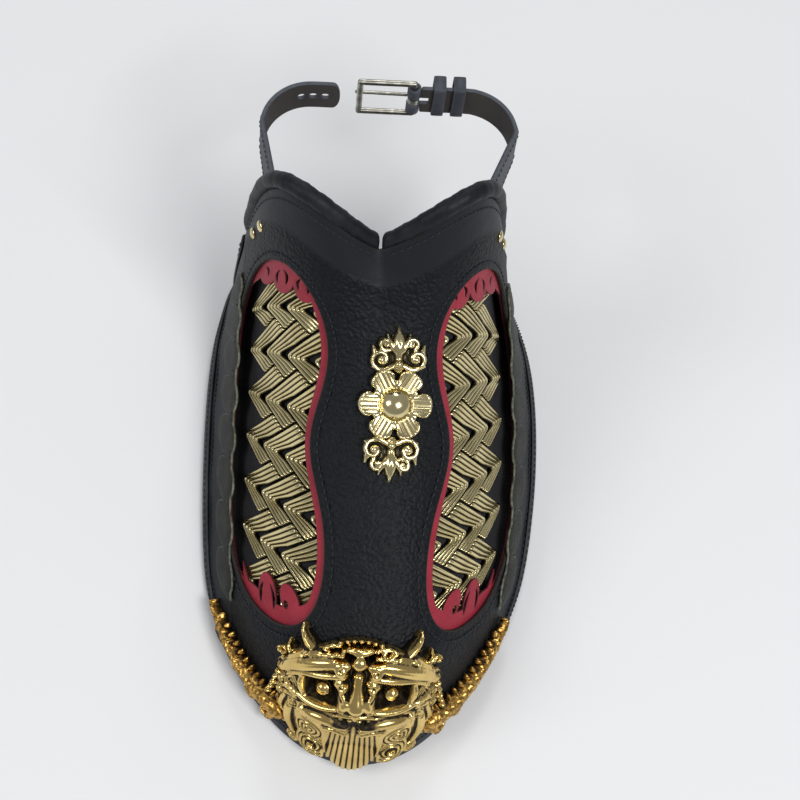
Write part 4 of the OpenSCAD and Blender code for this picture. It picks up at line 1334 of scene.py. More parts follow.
@dataclass
class WindowDressing:
    """The red frame, scalloped edging, lining and scales of one window."""

    shop: Workshop
    window: Window
    side: Side
    frame_top: float = -2.1
    frame_leather: float = 1.0
    frame_show: float = 4.8
    frame_show_ends: float = 2.0
    frame_hidden: float = 1.2
    frame_margin: float = 4.0
    edging_bottom: float = 0.3
    edging_thick: float = 0.8
    edging_start_t: float = 0.735
    edging_end_t: float = 0.802
    lobe_pitch: float = 19.5
    lobe_reach: float = 10.2
    lobes: int = 8
    lining_top: float = -6.6
    lining_thick: float = 1.2
    lining_margin: float = 13.0
    lining_ankle_margin: float = 7.0
    ridge_scale: float = 104.0
    skirt_scale: float = 127.0
    along_scale: float = 37.0

    def build(self) -> None:
        """Makes the window's layers from the lining outward."""
        self.lining()
        ScalePanel(self.shop, self.side).build()
        self.frame()
        self.edging()

    def frame(self) -> None:
        """The red leather frame with its cloud-scroll lobes."""
        hole = self.window.loop(self.shop.form)
        run = unit(np.roll(hole, -1, 0) - np.roll(hole, 1, 0))
        facing = shifted(hole, 1.0)[:, 0] - hole[:, 0]
        share = eased(ramp(facing + 0.75, 0.6))
        ends = ramp(np.abs(run[:, 0]) - 0.55, 0.3)
        show = self.frame_show + self.frame_show_ends * ends
        opening = shifted(hole, share * show - (1 - share) * self.frame_hidden)
        loops = [(Cut.ADD, shifted(hole, -self.frame_margin)), (Cut.REMOVE, opening)]
        loops += self.toe_scroll() + self.ankle_scroll()
        loops = [(cut, on_side(loop, self.side)) for cut, loop in loops]
        piece = FlatPattern(loops, 1.8, 0.55, 0.35).piece(
            f"red_frame_{self.side.label}",
            self.shop.form.panel,
            self.frame_top,
            self.frame_top - self.frame_leather,
        )
        node = f"window_frame_{self.side.label}"
        self.shop.fit(piece, self.shop.finishes.red, "red_leather", (node,))

    @staticmethod
    def toe_scroll() -> list:
        """Lobes, slots and flame tips at the toe end."""
        return [
            (Cut.ADD, oval(59.5, -63.5, 7.5, 9, 12)),
            (Cut.ADD, oval(42, -60.5, 7.5, 6, 40)),
            (Cut.ADD, oval(73, -71, 9, 5, -8)),
            (Cut.ADD, leaf(70, -73, 20, 5.2, 48, -2)),
            (Cut.ADD, leaf(78, -75, 23, 5, 30, -2.4)),
            (Cut.ADD, leaf(84, -76, 17, 4.2, 14, -1.5)),
            (Cut.REMOVE, leaf(53.6, -67.5, 9.5, 2.4, 72, 1.2)),
            (Cut.REMOVE, leaf(64.8, -68.5, 9, 2.6, 104, -1.2)),
            (Cut.REMOVE, oval(44.5, -62.6, 1.5, 1.5)),
        ]

    @staticmethod
    def ankle_scroll() -> list:
        """Lobes, swirls and the pointed tongue at the ankle end."""
        return [
            (Cut.ADD, oval(36.5, 66, 7.5, 8.5, -14)),
            (Cut.ADD, oval(51.5, 67.5, 8.5, 8, 8)),
            (Cut.ADD, oval(65.5, 69.5, 8, 6, 6)),
            (Cut.ADD, leaf(68, 70, 22, 6.2, -8, 1.8)),
            (Cut.REMOVE, leaf(34, 62.8, 7, 1.9, 78, 1.6)),
            (Cut.REMOVE, leaf(40, 63, 6, 1.6, 104, -1.3)),
            (Cut.REMOVE, leaf(49, 64, 7.5, 2, 76, 1.7)),
            (Cut.REMOVE, leaf(56, 64.5, 6.5, 1.8, 108, -1.5)),
            (Cut.REMOVE, leaf(64.5, 67.8, 5.5, 1.6, 66, 1.2)),
        ]

    def edging(self) -> None:
        """The scalloped edging along the skirt side."""
        form, label = self.shop.form, self.side.label
        a0, a1 = form.a_at(self.edging_start_t), form.a_at(self.edging_end_t)
        half, edge = self.lobes / 2 * self.lobe_pitch, a1 - 1.2
        strip = np.array([(a0, -half), (edge, -half), (edge, half), (a0, half)])
        width = 0.485 * self.lobe_pitch
        starts = [(k - (self.lobes - 1) / 2) * self.lobe_pitch for k in range(self.lobes)]
        lobes = [oval(a1 - 2.4, b, self.lobe_reach, width, 0, 40) for b in starts]
        loops = [(Cut.ADD, on_side(loop, self.side)) for loop in (strip, *lobes)]
        top = self.edging_bottom + self.edging_thick

        def puffed(flat: Array, distance: Array) -> Array:
            """Each lobe domes a little towards its middle, with folds between the lobes."""
            dome = np.abs(np.sin(np.pi * (flat[:, 1] / self.lobe_pitch)))
            folds = wave(flat[:, 1] + 0.25 * np.abs(flat[:, 0]), 3.9) * (1 - dome)
            return ramp(distance, 4) ** 0.7 * (0.5 * dome + 0.22 * folds)

        pattern = FlatPattern(loops, 1.5, 0.6, 0.35)
        piece = pattern.piece(f"scallops_{label}", form.panel, top, self.edging_bottom, puffed)
        finish, node = self.shop.finishes.edging, f"scallop_edging_{label}"
        self.shop.fit(piece, finish, "edging_leather", (node,))
        seam = np.array([(a0 + 2.2, b) for b in np.linspace(-half + 2, half - 2, 80)])
        lines = [on_side(seam, self.side)]
        self.shop.sew(f"scallop_stitching_{label}", lines, top, "edging_leather", form.panel)

    def lining(self) -> None:
        """The cloth behind the scales, its rim up against the leather."""
        form, window, label = self.shop.form, self.window, self.side.label
        t0 = window.end_t - self.lining_margin / self.ridge_scale
        t1 = window.outer_t + self.lining_margin / self.skirt_scale
        u0 = window.toe - self.lining_margin / self.along_scale
        u1 = window.ankle + self.lining_ankle_margin / self.along_scale
        rows, cols = 56, 40
        u, t = np.meshgrid(np.linspace(u0, u1, rows), np.linspace(t0, t1, cols), indexing="ij")
        across = np.minimum((t - t0) * self.ridge_scale, (t1 - t) * self.skirt_scale)
        along = np.minimum(u - u0, u1 - u) * self.along_scale
        rise = eased(np.maximum(ramp(7.0 - across, 5.0), ramp(6.5 - along, 5.0)))
        top = (self.lining_top + rise * (self.frame_top - self.lining_top)).ravel()
        places = (u.ravel(), self.side.value * t.ravel())
        points = [form.at(*places, top - drop) for drop in (0, self.lining_thick)]
        faces = slab_faces(rows, cols, self.side is Side.LEFT)
        piece = build_mesh(f"lining_cloth_{label}", np.vstack(points), faces)
        self.shop.fit(piece, self.shop.finishes.lining, "lining_cloth", (f"lining_{label}",))
        area = sum(p.area for p in piece.data.polygons[: (rows - 1) * (cols - 1)])
        grid = points[0].reshape(rows, cols, 3)
        length, width = (
            np.linalg.norm(np.diff(grid, axis=k), axis=2).sum(k).max() * MM for k in (0, 1)
        )
        size, area = (width, length), min(area, width * length)


@dataclass
class ScalePanel:
    """Interlocked mountain-pattern scales: chevrons pressed with four ridges along both arms."""

    shop: Workshop
    side: Side
    rows: int = 8
    columns: int = 4
    row_pitch: float = 19.5
    nest_pitch: float = 18.5
    row_shift: float = 4.2
    first_vertex: float = 34.5
    arm_width: float = 7.9
    arm_angle: float = math.radians(28)
    gap: float = 0.8
    blunt: float = 1.3
    waist: float = 0.8
    bottom: float = -5.55
    plate: float = 0.9
    ridge: float = 1.1
    ridges: int = 4
    cut_inner: float = 15.0
    cut_toe: float = -76.0
    cut_ankle: float = 72.0
    profile_steps: int = 32
    arm_places: tuple = (1.0, 0.985, 0.94, 0.8, 0.62, 0.45, 0.3, 0.18, 0.09)
    end_drops: tuple = (0.55, 0.16)
    sag: float = 0.22

    def build(self) -> None:
        """Makes every row."""
        for i in range(1, self.rows + 1):
            self.row(i)

    def lengths(self, w: Array, a: float, b: float) -> tuple:
        """How far the upper and the lower arm reach at w across them."""
        sin, cos = math.sin(self.arm_angle), math.cos(self.arm_angle)
        slot = (a - self.cut_inner - w / sin) / cos
        room = self.row_pitch * cos - w - self.gap
        upper = (self.nest_pitch * sin + room) / math.sin(2 * self.arm_angle)
        lower = room / math.sin(2 * self.arm_angle)
        upper = np.minimum(np.minimum(upper, slot), (self.cut_ankle - b) / sin)
        lower = np.minimum(np.minimum(lower, slot), (b - self.cut_toe) / sin)
        return np.maximum(upper, self.blunt + 0.4), np.maximum(lower, self.blunt + 0.4)

    def scale(self, a: float, b: float) -> tuple:
        """One scale as a grid of flat points, heights and groove values, which paint shade and
        patina into the grooves.
        """
        sin, cos = math.sin(self.arm_angle), math.cos(self.arm_angle)
        w = np.linspace(0, self.arm_width, self.profile_steps + 1)
        upper, lower = self.lengths(w, a, b)
        crest = np.abs(np.sin(np.pi * w / self.arm_width * self.ridges)) ** 0.8
        level = self.plate + self.ridge * crest
        corner = 3.0 - 1.6 * w / self.arm_width

        def at(way: int, s: Array, narrow: Array) -> Array:
            """Points at s along one arm, drawn in by narrow."""
            return np.stack([a - w * narrow / sin - s * cos, b + way * s * sin], axis=1)

        def arm(way: int, full: Array) -> list:
            """The rows of one arm from its end inward: flat points and heights."""
            start = np.minimum(corner, 0.5 * full)
            made = []
            for k, f in enumerate(self.arm_places):
                s = start + (full - start) * f
                risen = ramp(s - self.blunt, 0.45 * np.maximum(full - self.blunt, 0.1))
                drop = self.end_drops[k] if k < len(self.end_drops) else 0.0
                height = self.bottom + level * (1 - drop) - self.sag * f**2
                made.append((at(way, s, self.waist + (1 - self.waist) * risen), height))
            return made

        p0, p2 = (
            at(way, np.minimum(corner, 0.5 * full), self.waist)
            for way, full in ((1, upper), (-1, lower))
        )
        p1 = at(1, np.zeros_like(w), self.waist)
        vertex = [
            ((1 - f) ** 2 * p0 + 2 * f * (1 - f) * p1 + f * f * p2, self.bottom + level)
            for f in (0.0, 0.2, 0.4, 0.6, 0.8, 1.0)
        ]
        rows = arm(1, upper) + vertex + arm(-1, lower)[::-1]
        flat, heights = (np.array(part) for part in zip(*rows))
        return flat, heights, np.tile(1 - crest, (len(rows), 1))

    def row(self, i: int) -> None:
        """One row of scales along the foot."""
        b = (i - (self.rows + 1) / 2) * self.row_pitch - self.side.value * self.row_shift
        points, faces, hollow = [], [], []
        total = 0
        for j in range(self.columns - 1 if i == self.rows else self.columns):
            flat, heights, groove = self.scale(self.first_vertex + j * self.nest_pitch, b)
            laid = on_side(flat.reshape(-1, 2), self.side)
            points += [self.shop.form.panel(laid, n) for n in (heights.ravel(), self.bottom)]
            mesh = slab_faces(*heights.shape, self.side is Side.RIGHT)
            faces += [[v + total for v in f] for f in mesh]
            # The grooves take their groove value and the whole lower face one: painted shade and
            # patina in the grooves, painted shade under the scales.
            hollow += [groove.ravel(), np.ones(groove.size)]
            total += 2 * groove.size
        values = {"hollow": np.concatenate(hollow)}
        piece = build_mesh(f"scales_{self.side.label}_{i}", np.vstack(points), faces, values)
        node = f"scale_row_{self.side.label}_{i}"
        self.shop.fit(piece, self.shop.finishes.scale, "gilt_scale", (node,))


# ---- castings


@dataclass(frozen=True)
class Stroke:
    """A modelled roll of metal: places along it with x, y, height of its middle and radius."""

    points: tuple
    crown: float = 1.0
    steps: int = 6
    far_below: float = -50.0

    def on(self, s: int, x0: float = 0.0, y0: float = 0.0) -> "Stroke":
        """The same roll moved by x0, y0 and put on side s."""
        moved = ((s * (x0 + x), y0 + y, z, r) for x, y, z, r in self.points)
        return Stroke(tuple(moved), self.crown)

    def sampled(self) -> Array:
        """A smooth line of places."""
        return smooth_line(self.points, self.steps)

    def heights(self, flat: Array, wall: float) -> Array:
        """Height of the roll's surface over each point, falling away steeply outside it."""
        line = self.sampled()
        reach = line[:, 3].max() + 3
        low, high = line[:, :2].min(0) - reach, line[:, :2].max(0) + reach
        near = np.where(((flat > low) & (flat < high)).all(axis=1))[0]
        p = flat[near]
        found = np.full(len(p), self.far_below)
        for s, e in zip(line[:-1], line[1:]):
            run = e[:2] - s[:2]
            f = np.clip(((p - s[:2]) @ run) / max(run @ run, 1e-9), 0, 1)
            d = np.linalg.norm(p - (s[:2] + f[:, None] * run), axis=1)
            z, r = s[2] + (e[2] - s[2]) * f, s[3] + (e[3] - s[3]) * f
            dome = z + self.crown * r * np.sqrt(np.maximum(0, 1 - (d / r) ** 2))
            found = np.maximum(found, np.where(d < r, dome, z - wall * (d - r)))
        best = np.full(len(flat), self.far_below)
        best[near] = found
        return best

    def loop(self) -> Array:
        """The roll's outline as a closed flat loop."""
        line = self.sampled()
        middle, r = line[:, :2], line[:, 3:4]
        run = unit(np.gradient(middle, axis=0))
        left = left_of(run)
        ends = []
        for k, way in ((-1, 1), (0, -1)):
            angles = np.linspace(0, np.pi, 7)[1:-1, None]
            arc = np.cos(angles) * left[k] * way + np.sin(angles) * run[k] * way
            ends.append(middle[k] + line[k, 3] * arc)
        return np.vstack([middle + left * r, ends[0], (middle - left * r)[::-1], ends[1]])


def roll(*points: tuple, crown: float = 1.0) -> Stroke:
    """A roll through places given one by one."""
    return Stroke(points, crown)


def bead(x: float, y: float, z: float, r: float, dx: float = 0.0, dy: float = 0.05) -> Stroke:
    """A round bead, drawn out by a hair so that it has a direction."""
    return Stroke(((x, y, z, r), (x + dx, y + dy, z, r)))


@dataclass(frozen=True)
class Curl:
    """A spiral roll that tightens as it turns, its angles in degrees.

    It holds its middle, first radius, first angle, how far it turns, the height of its middle
    line, the radius of the roll and how much higher its heart stands.
    """

    x: float
    y: float
    r: float
    start: float
    turn: float
    z: float
    thick: float
    rise: float

    def on(self, s: int, x0: float = 0.0, y0: float = 0.0) -> Stroke:
        """The curl's roll, moved by x0, y0 and put on side s, where it turns the other way."""
        places = []
        for f in np.linspace(0, 1, 9):
            q, a = self.r * (1 - 0.8 * f), math.radians(self.start + s * self.turn * f)
            x, y = s * (x0 + self.x) + q * math.cos(a), y0 + self.y + q * math.sin(a)
            places.append((x, y, self.z + self.rise * f, self.thick * (1 - 0.45 * f)))
        return Stroke(tuple(places))


@dataclass
class Casting:
    """A relief cast in one piece: a ground, strokes on it and an outline round them all."""

    strokes: list
    outlines: list
    ground: Rule
    spacing: float
    detail: Optional[Rule] = None
    sunk: Optional[Rule] = None
    wall: float = 3.0
    edge_radius: float = 0.3
    blurs: int = 9
    floor: float = 0.5
    thinnest: float = 0.8

    def surface(self, flat: Array) -> Array:
        """Height of the casting's face over each flat point."""
        height = self.ground(flat)
        for stroke in self.strokes:
            height = np.maximum(height, stroke.heights(flat, self.wall))
        return height if self.detail is None else height + self.detail(flat)

    def piece(self, name: str, laid: Laying) -> bpy.types.Object:
        """Makes the casting as a solid with a value for its hollows, where its finish paints shade.

        Args:
            name: the piece's name.
            laid: turns flat points and heights into places in space.

        Returns:
            The object.
        """
        loops = [(Cut.ADD, loop) for loop in self.outlines + [s.loop() for s in self.strokes]]
        pattern = FlatPattern(loops, self.spacing, self.spacing, self.edge_radius)
        flat, tris, rim, distance = pattern.mesh()
        height = self.surface(flat)
        edges = np.vstack([tris[:, [0, 1]], tris[:, [1, 2]], tris[:, [2, 0]]])
        edges = np.vstack([edges, edges[:, ::-1]])
        count = np.maximum(np.bincount(edges[:, 0], minlength=len(flat)), 1)
        blurred = height.copy()
        for k in range(self.blurs):
            blurred = np.bincount(edges[:, 0], blurred[edges[:, 1]], len(flat)) / count
            if k == 0:
                height = height * 0.6 + blurred * 0.4
        # Points lying below their blurred neighbours get the hollow value, which paints shade
        # there; sunk adds more painted shade.
        hollow = ramp(blurred - height, 0.7)
        if self.sunk is not None:
            hollow = np.clip(hollow + self.sunk(flat), 0, 1)
        soften = 0.45 + 0.55 * ramp(distance, 0.5)
        height = self.floor + (np.maximum(height, self.thinnest) - self.floor) * soften
        over, under = laid(flat, height), laid(flat, 0.0)
        return solid(name, over, under, tris, rim, {"hollow": hollow})


# Rolls and curls of one side of the mask. A roll's places are x outward from the ridge, y up
# the toe, height of the middle and radius.
BROW = (
    # horns
    roll((14, 57.5, 5.2, 2.1), (17, 60.2, 5.4, 1.7), (19.4, 63.4, 5, 1.1), (20.4, 66.4, 4.2, 0.35)),
    roll((15.6, 59, 7.2, 0.5), (18.2, 62, 6.6, 0.5), (19.8, 64.8, 5.4, 0.3)),
    roll((23.5, 52.6, 4.2, 1.3), (25.4, 55.2, 4.2, 0.9), (25.8, 58.2, 3.4, 0.35)),
    # the broad brow with a rim above and a fold below
    roll(
        (4, 56.2, 9, 1.5), (9, 56, 8.8, 2.1), (16, 53.8, 8, 2.5), (23, 50, 6.4, 2.1),
        (28.6, 45.6, 4.2, 1),
    ),
    roll(
        (5, 59.2, 8.8, 0.85), (12, 58.4, 8.4, 0.95), (19.5, 55.4, 7.2, 0.95), (27.4, 49.6, 4.8, 0.7)
    ),
    roll((4.2, 52.9, 9.8, 0.9), (10, 52, 9.6, 1.15), (17, 50.4, 8.6, 1.15), (23, 47.4, 6.6, 0.8)),
    roll((6.5, 62, 7, 0.9), (10.5, 61.2, 6.8, 1), (14, 59.4, 6.2, 0.8)),
    Curl(5, 54.8, 1.9, 90, -330, 10.4, 0.75, 0.5),
    Curl(4.4, 49.2, 2.1, 120, -330, 10.6, 0.75, 0.5),
    Curl(10.8, 58.9, 1.6, 90, 330, 8.8, 0.6, 0.4),
    Curl(29, 52.6, 2.3, 200, -330, 3, 0.85, 0.6),
)
EYE_FRAME = (
    roll((17.9, 49, 8, 0.9), (18.6, 44.5, 7.4, 1.05), (17.8, 39.8, 7, 0.9)),
    roll((5.6, 47, 9, 1.2), (4.4, 45.2, 9.6, 1), (3.4, 43.6, 10.2, 0.7)),
    roll((6.2, 43.8, 8.6, 1.1), (5, 42.4, 9.4, 0.9), (4.2, 41.4, 10, 0.6)),
    roll(
        (5.4, 39, 9.4, 1.1), (11.4, 37.6, 8.6, 1.35), (18, 38.2, 7.2, 1.3), (25.5, 40.6, 4.8, 0.8)
    ),
    # the nose's wing
    roll((2.2, 43.4, 11.6, 1.4), (3.6, 41.6, 11.2, 1.5)),
    Curl(3.9, 40.2, 1.8, 90, -320, 10.8, 0.75, 0.5),
    roll((1.6, 37.6, 10.8, 0.95), (4.2, 37.2, 10.2, 1), (6.6, 35.4, 9.4, 0.6)),
    roll((1.5, 35.4, 10.8, 0.85), (1.9, 32.4, 10.2, 0.35)),
    roll((4.2, 35.2, 10.2, 0.75), (4.5, 33, 9.6, 0.35)),
)
CHEEK = (
    # the barred moustache with its rim and end curl
    roll((3, 31.6, 10.4, 1.4), (8, 33.2, 9.8, 2.2), (14, 33, 8.6, 2.4), (19, 31, 7, 1.3)),
    roll(
        (4.5, 35.6, 9.8, 0.6), (9.5, 36.2, 9.2, 0.7), (15.5, 35.9, 7.8, 0.7), (20.6, 33.2, 6.2, 0.6)
    ),
    roll((2.6, 28.8, 9.8, 0.9), (8, 30.3, 9.2, 0.85), (14, 29.9, 8, 0.8), (19.4, 27.6, 6.4, 0.6)),
    Curl(17.8, 31.6, 2.2, 60, -380, 8.2, 0.75, 0.6),
    # folds
    roll((2.6, 26.6, 9.2, 1), (6.4, 27.6, 8.8, 1.2), (10, 26, 8, 0.8)),
    roll((21.5, 37.4, 5.8, 0.9), (25.6, 37.2, 4.8, 1), (29.2, 34.4, 3.4, 0.6)),
    roll((21.8, 34.8, 5.4, 0.9), (25.8, 34, 4.6, 1), (29.4, 30.6, 3.2, 0.6)),
)
JAW = (
    # slender tusks
    roll((22.6, 33, 4.8, 0.8), (25, 27, 5, 1.7), (26, 19, 4.6, 1.6), (24.6, 10.5, 3.6, 0.5)),
    roll((24.6, 28.5, 6.4, 0.45), (25.8, 20, 6, 0.4), (25, 12.5, 4.6, 0.3)),
    roll((28, 30, 3.2, 0.7), (30.2, 24.5, 3.2, 1.2), (29.8, 18.5, 3, 0.6)),
    # rolled rims beside the beard
    roll((8.9, 26, 7, 0.85), (10.2, 18.5, 6.2, 0.8), (9.8, 11, 5, 0.6), (9, 4.8, 3.8, 0.45)),
    roll((15.4, 9.4, 5.9, 1.3), (15.45, 9.4, 5.9, 1.3)),
    roll((9.4, 25, 6.6, 0.6), (15, 20.6, 5.6, 0.8), (21.5, 16.5, 4.2, 0.6)),
)
# The bridge of the nose, the jewel on the brow, the nose's tip and the comb's foot.
RIDGE = (
    roll((0, 53, 9.4, 1.5), (0, 49.5, 10.4, 1.3), (0, 46, 11.4, 1.7), (0, 42.6, 12.2, 2.6)),
    roll((0, 57.6, 8.8, 2.5), (0, 57.7, 8.8, 2.5)),
    roll((0, 38.4, 11.2, 1.2), (0, 36.6, 11, 0.9)),
    roll((-3.4, 61.4, 7.6, 1.3), (0, 60.9, 8.4, 1.6), (3.4, 61.4, 7.6, 1.3)),
)
# Curls of the mane: x, y, radius and height.
MANE = (
    (15.4, 9.4, 7.6, 3.4),
    (16.5, 20.5, 6, 4.6),
    (25.4, 5.6, 3.4, 2.2),
    (30.8, 12.4, 3.2, 1.8),
    (31.6, 21.4, 3.3, 1.8),
    (31.2, 29.4, 3.2, 2.2),
    (29.6, 37.2, 3.2, 2.8),
    (29, 45.4, 3, 2.8),
    (22.6, 30.4, 3.4, 4.4),
    (22.4, 37.6, 3, 5.4),
    (17.4, 57, 2.4, 5.4),
)


@dataclass
class Mask:
    """The beast head cast over the toe."""

    shop: Workshop
    width: float = 62.0
    height: float = 64.0
    crest: float = 6.0
    foot: float = 6.5
    swell: float = 7.0
    plate: float = 1.6
    eye_x: float = 11.6
    eye_y: float = 44.6
    socket_depth: float = 4.6
    beard_top: float = 26.5
    flute: float = 1.6
    big_curl: float = 5.0

    def build(self) -> None:
        """Makes the head."""
        strokes, outlines = self.head_strokes(), self.outlines()
        head = Casting(strokes, outlines, self.ground, 0.45, self.flutes, self.shadowed)
        piece = head.piece("beast_head", self.shop.form.toe)
        self.shop.fit(piece, self.shop.finishes.casting, "gilt_casting", ("beast_mask",))

    def half_at(self, f: Array) -> Array:
        """Half width of the face at share f of its height."""
        return self.width / 2 * (0.72 + 0.28 * np.sin(np.pi * np.clip(f, 0, 1) ** 0.8))

    def outlines(self) -> list:
        """The face below its crest, the fluted beard and every curl of the mane."""
        f = np.linspace(0, 1, 24)
        y = self.foot + f * (self.height - self.crest - self.foot)
        right, left = (np.stack([s * self.half_at(f), y], axis=1) for s in (1, -1))
        rounds = [oval(s * x, y, r, r, 0, 40) for s in (-1, 1) for x, y, r, _ in MANE]
        return [np.vstack([right, left[::-1]]), oval(0, 9.6, 9.4, 7.6, 0, 40)] + rounds

    @staticmethod
    def nearest_curl(flat: Array) -> tuple:
        """The mane's curl that each point lies in.

        Args:
            flat: flat points.

        Returns:
            The share of its radius, its radius and height, and the offsets from its heart.
        """
        best = np.full(len(flat), 9.0)
        found = np.zeros((4, len(flat)))
        for side in (-1, 1):
            for x, y, radius, level in MANE:
                dx, dy = (flat[:, 0] - side * x) * side, flat[:, 1] - y
                share = np.hypot(dx, dy) / radius
                own = np.array([np.broadcast_to(v, len(flat)) for v in (radius, level, dx, dy)])
                found = np.where(share < best, own, found)
                best = np.minimum(share, best)
        return best, *found

    def ground(self, flat: Array) -> Array:
        """The swollen face, the beard's bulge and the domes of the mane's curls."""
        x, y = flat.T
        f = ramp(y - self.foot, self.height - self.crest - self.foot)
        g = x / self.half_at(f)
        face = self.swell * np.sin(np.pi * f) ** 0.7 * np.maximum(0, 1 - g * g) ** 0.8
        beard = 3.0 + 4.2 * np.maximum(0, 1 - (x / 10.5) ** 2 - ((y - 13) / 16.5) ** 2) ** 0.5
        beard = np.where((np.abs(x) < 10.2) & (y < 27), beard, 0)
        share, radius, level, *_ = self.nearest_curl(flat)
        dome = np.where(share < 1, level + 0.16 * radius * (1 - share**2), 0)
        return np.maximum(np.maximum(self.plate + face, beard), dome)

    def flutes(self, flat: Array) -> Array:
        """Combed flutes of the beard and mane, hatched temples and deep eye sockets."""
        x, y = flat.T
        spread = 1 + 0.018 * (26 - y)
        beard = ramp(self.beard_top - y, 2) * ramp(9.0 * spread - np.abs(x), 0.8)
        out = beard * 0.52 * wave(x / spread, self.flute)
        share, radius, _, dx, dy = self.nearest_curl(flat)
        coil = ramp((1 - share) * radius, 0.7) * (1 - beard)
        big = radius > self.big_curl
        spiral = np.cos(2 * np.pi * share * radius / np.where(big, 1.8, 1.45) + np.arctan2(dy, dx))
        out = out * (1 - coil) + coil * np.where(big, 0.6, 0.44) * spiral
        line = y - 55.6 + 0.0115 * x * x
        along = ramp(np.abs(x) - 6, 2) * ramp(27 - np.abs(x), 2)
        for level in (-1.1, 0.1, 1.2):
            out = out - 0.42 * along * bell(line - level, 0.3)
        for s in (-1, 1):
            temple = bell(x - s * 23.5, 4.6, 4) * bell(y - 43.5, 4.4, 4)
            herring = wave(y + np.abs((x * s - 23.5) * 1.1), 1.7)
            lip = bell(x - s * 12, 8.5, 4) * bell(y - 29.2, 1.5, 4)
            out = out + temple * (1.4 + 0.42 * herring)
            out = out - self.socket_depth * self.socket(x, y, s, 2.9)
            out = out + lip * 0.35 * wave(x + s * y * 0.4, 1.5)
        return out

    def socket(self, x: Array, y: Array, s: int, ball: float) -> Array:
        """One round the eyeball in an eye socket and nought outside it."""
        dx, dy = x - s * self.eye_x, y - self.eye_y
        return bell(dx, 5.6, 6) * bell(dy, 4.6, 6) * (np.hypot(dx, dy) > ball)

    def shadowed(self, flat: Array) -> Array:
        """Painted shade in the eye sockets, mouth and nostrils."""
        x, y = flat.T
        dark = bell(x, 6.5, 4) * bell(y - 33.6, 1.8, 4) * 0.9
        for s in (-1, 1):
            dark = dark + 1.3 * self.socket(x, y, s, 3.4)
            dark = dark + np.exp(-((x - s * 2.5) ** 2 + (y - 39.6) ** 2) / 0.8)
        return dark

    def head_strokes(self) -> list:
        """Every modelled roll of the head: the ridge, the beaded comb, and both sides."""
        strokes = list(RIDGE)
        for k in range(-6, 7):
            x = 2.15 * k
            y = self.height + 0.2 - 0.030 * x * x
            strokes += [bead(x, y, 6.2, 1.15), bead(x * 0.97 + 1.0, y - 2.5, 7.2, 1.15)]
        for s in (-1, 1):
            strokes += [part.on(s) for part in BROW]
            for f in np.linspace(0, 1, 7):
                strokes.append(bead(s * (28.5 + 9.5 * f), 49 - 27 * f, 3.0 - 0.8 * f, 1.25))
            x, y = s * self.eye_x, self.eye_y
            strokes += [bead(x, y, 5.2, 2.3, 0.05, 0), bead(x, y, 7.0, 0.8, 0.05, 0)]
            strokes.append(Curl(self.eye_x, y, 3.5, 0, 350, 5.4, 0.62, 0.5).on(s))
            strokes += [part.on(s) for part in EYE_FRAME + CHEEK + JAW]
        return strokes


# Rolls of one wing, their x counted from the wing's root: its back, its forked tip, and the
# hook and leaf roll that each lobe repeats round its own middle.
WING_BACK = roll(
    (0.5, 15, 2.2, 5), (10, 16, 2.6, 4.8), (19, 19, 2.8, 4.4), (28, 24, 2.8, 3.8),
    (35, 30.5, 2.8, 3), (39, 36, 2.6, 1.8), crown=0.7,
)
WING_TIP = (
    roll((37, 33, 2.4, 2.2), (40.2, 36.5, 2.8, 1.6), (41.6, 40, 2.8, 1), (40, 42.6, 2.6, 0.4)),
    roll((35, 32, 2.2, 1.4), (35.8, 36.2, 2.4, 1.1), (34.4, 39.6, 2.4, 0.4)),
    roll((39.5, 31.5, 2, 1.3), (43.2, 32.6, 2.2, 1.3), (44.2, 29.4, 2, 0.6)),
)
WING_HOOK = (
    (-5, 6.4, 2.4, 1.5), (-3.4, 2, 2.6, 1.9), (-0.6, -1.8, 2.4, 1.8), (2.8, -1.2, 2.2, 1.3),
    (3, 1.6, 2.2, 0.7),
)
WING_LEAF = roll((1.2, 6.4, 3, 1.3), (4.4, 3.6, 2.6, 1.5), (6.2, 0.2, 2, 0.5))
WING_LOBES = ((6.5, 6.6, 1), (16.5, 8.4, 1.05), (26.5, 12.6, 1), (35, 19, 0.95))
WING_WEB = (
    (0, 21), (12, 21), (22, 25), (31, 31), (37, 38), (40, 33), (36, 24), (27, 15.5), (16, 10.5),
    (0, 9),
)


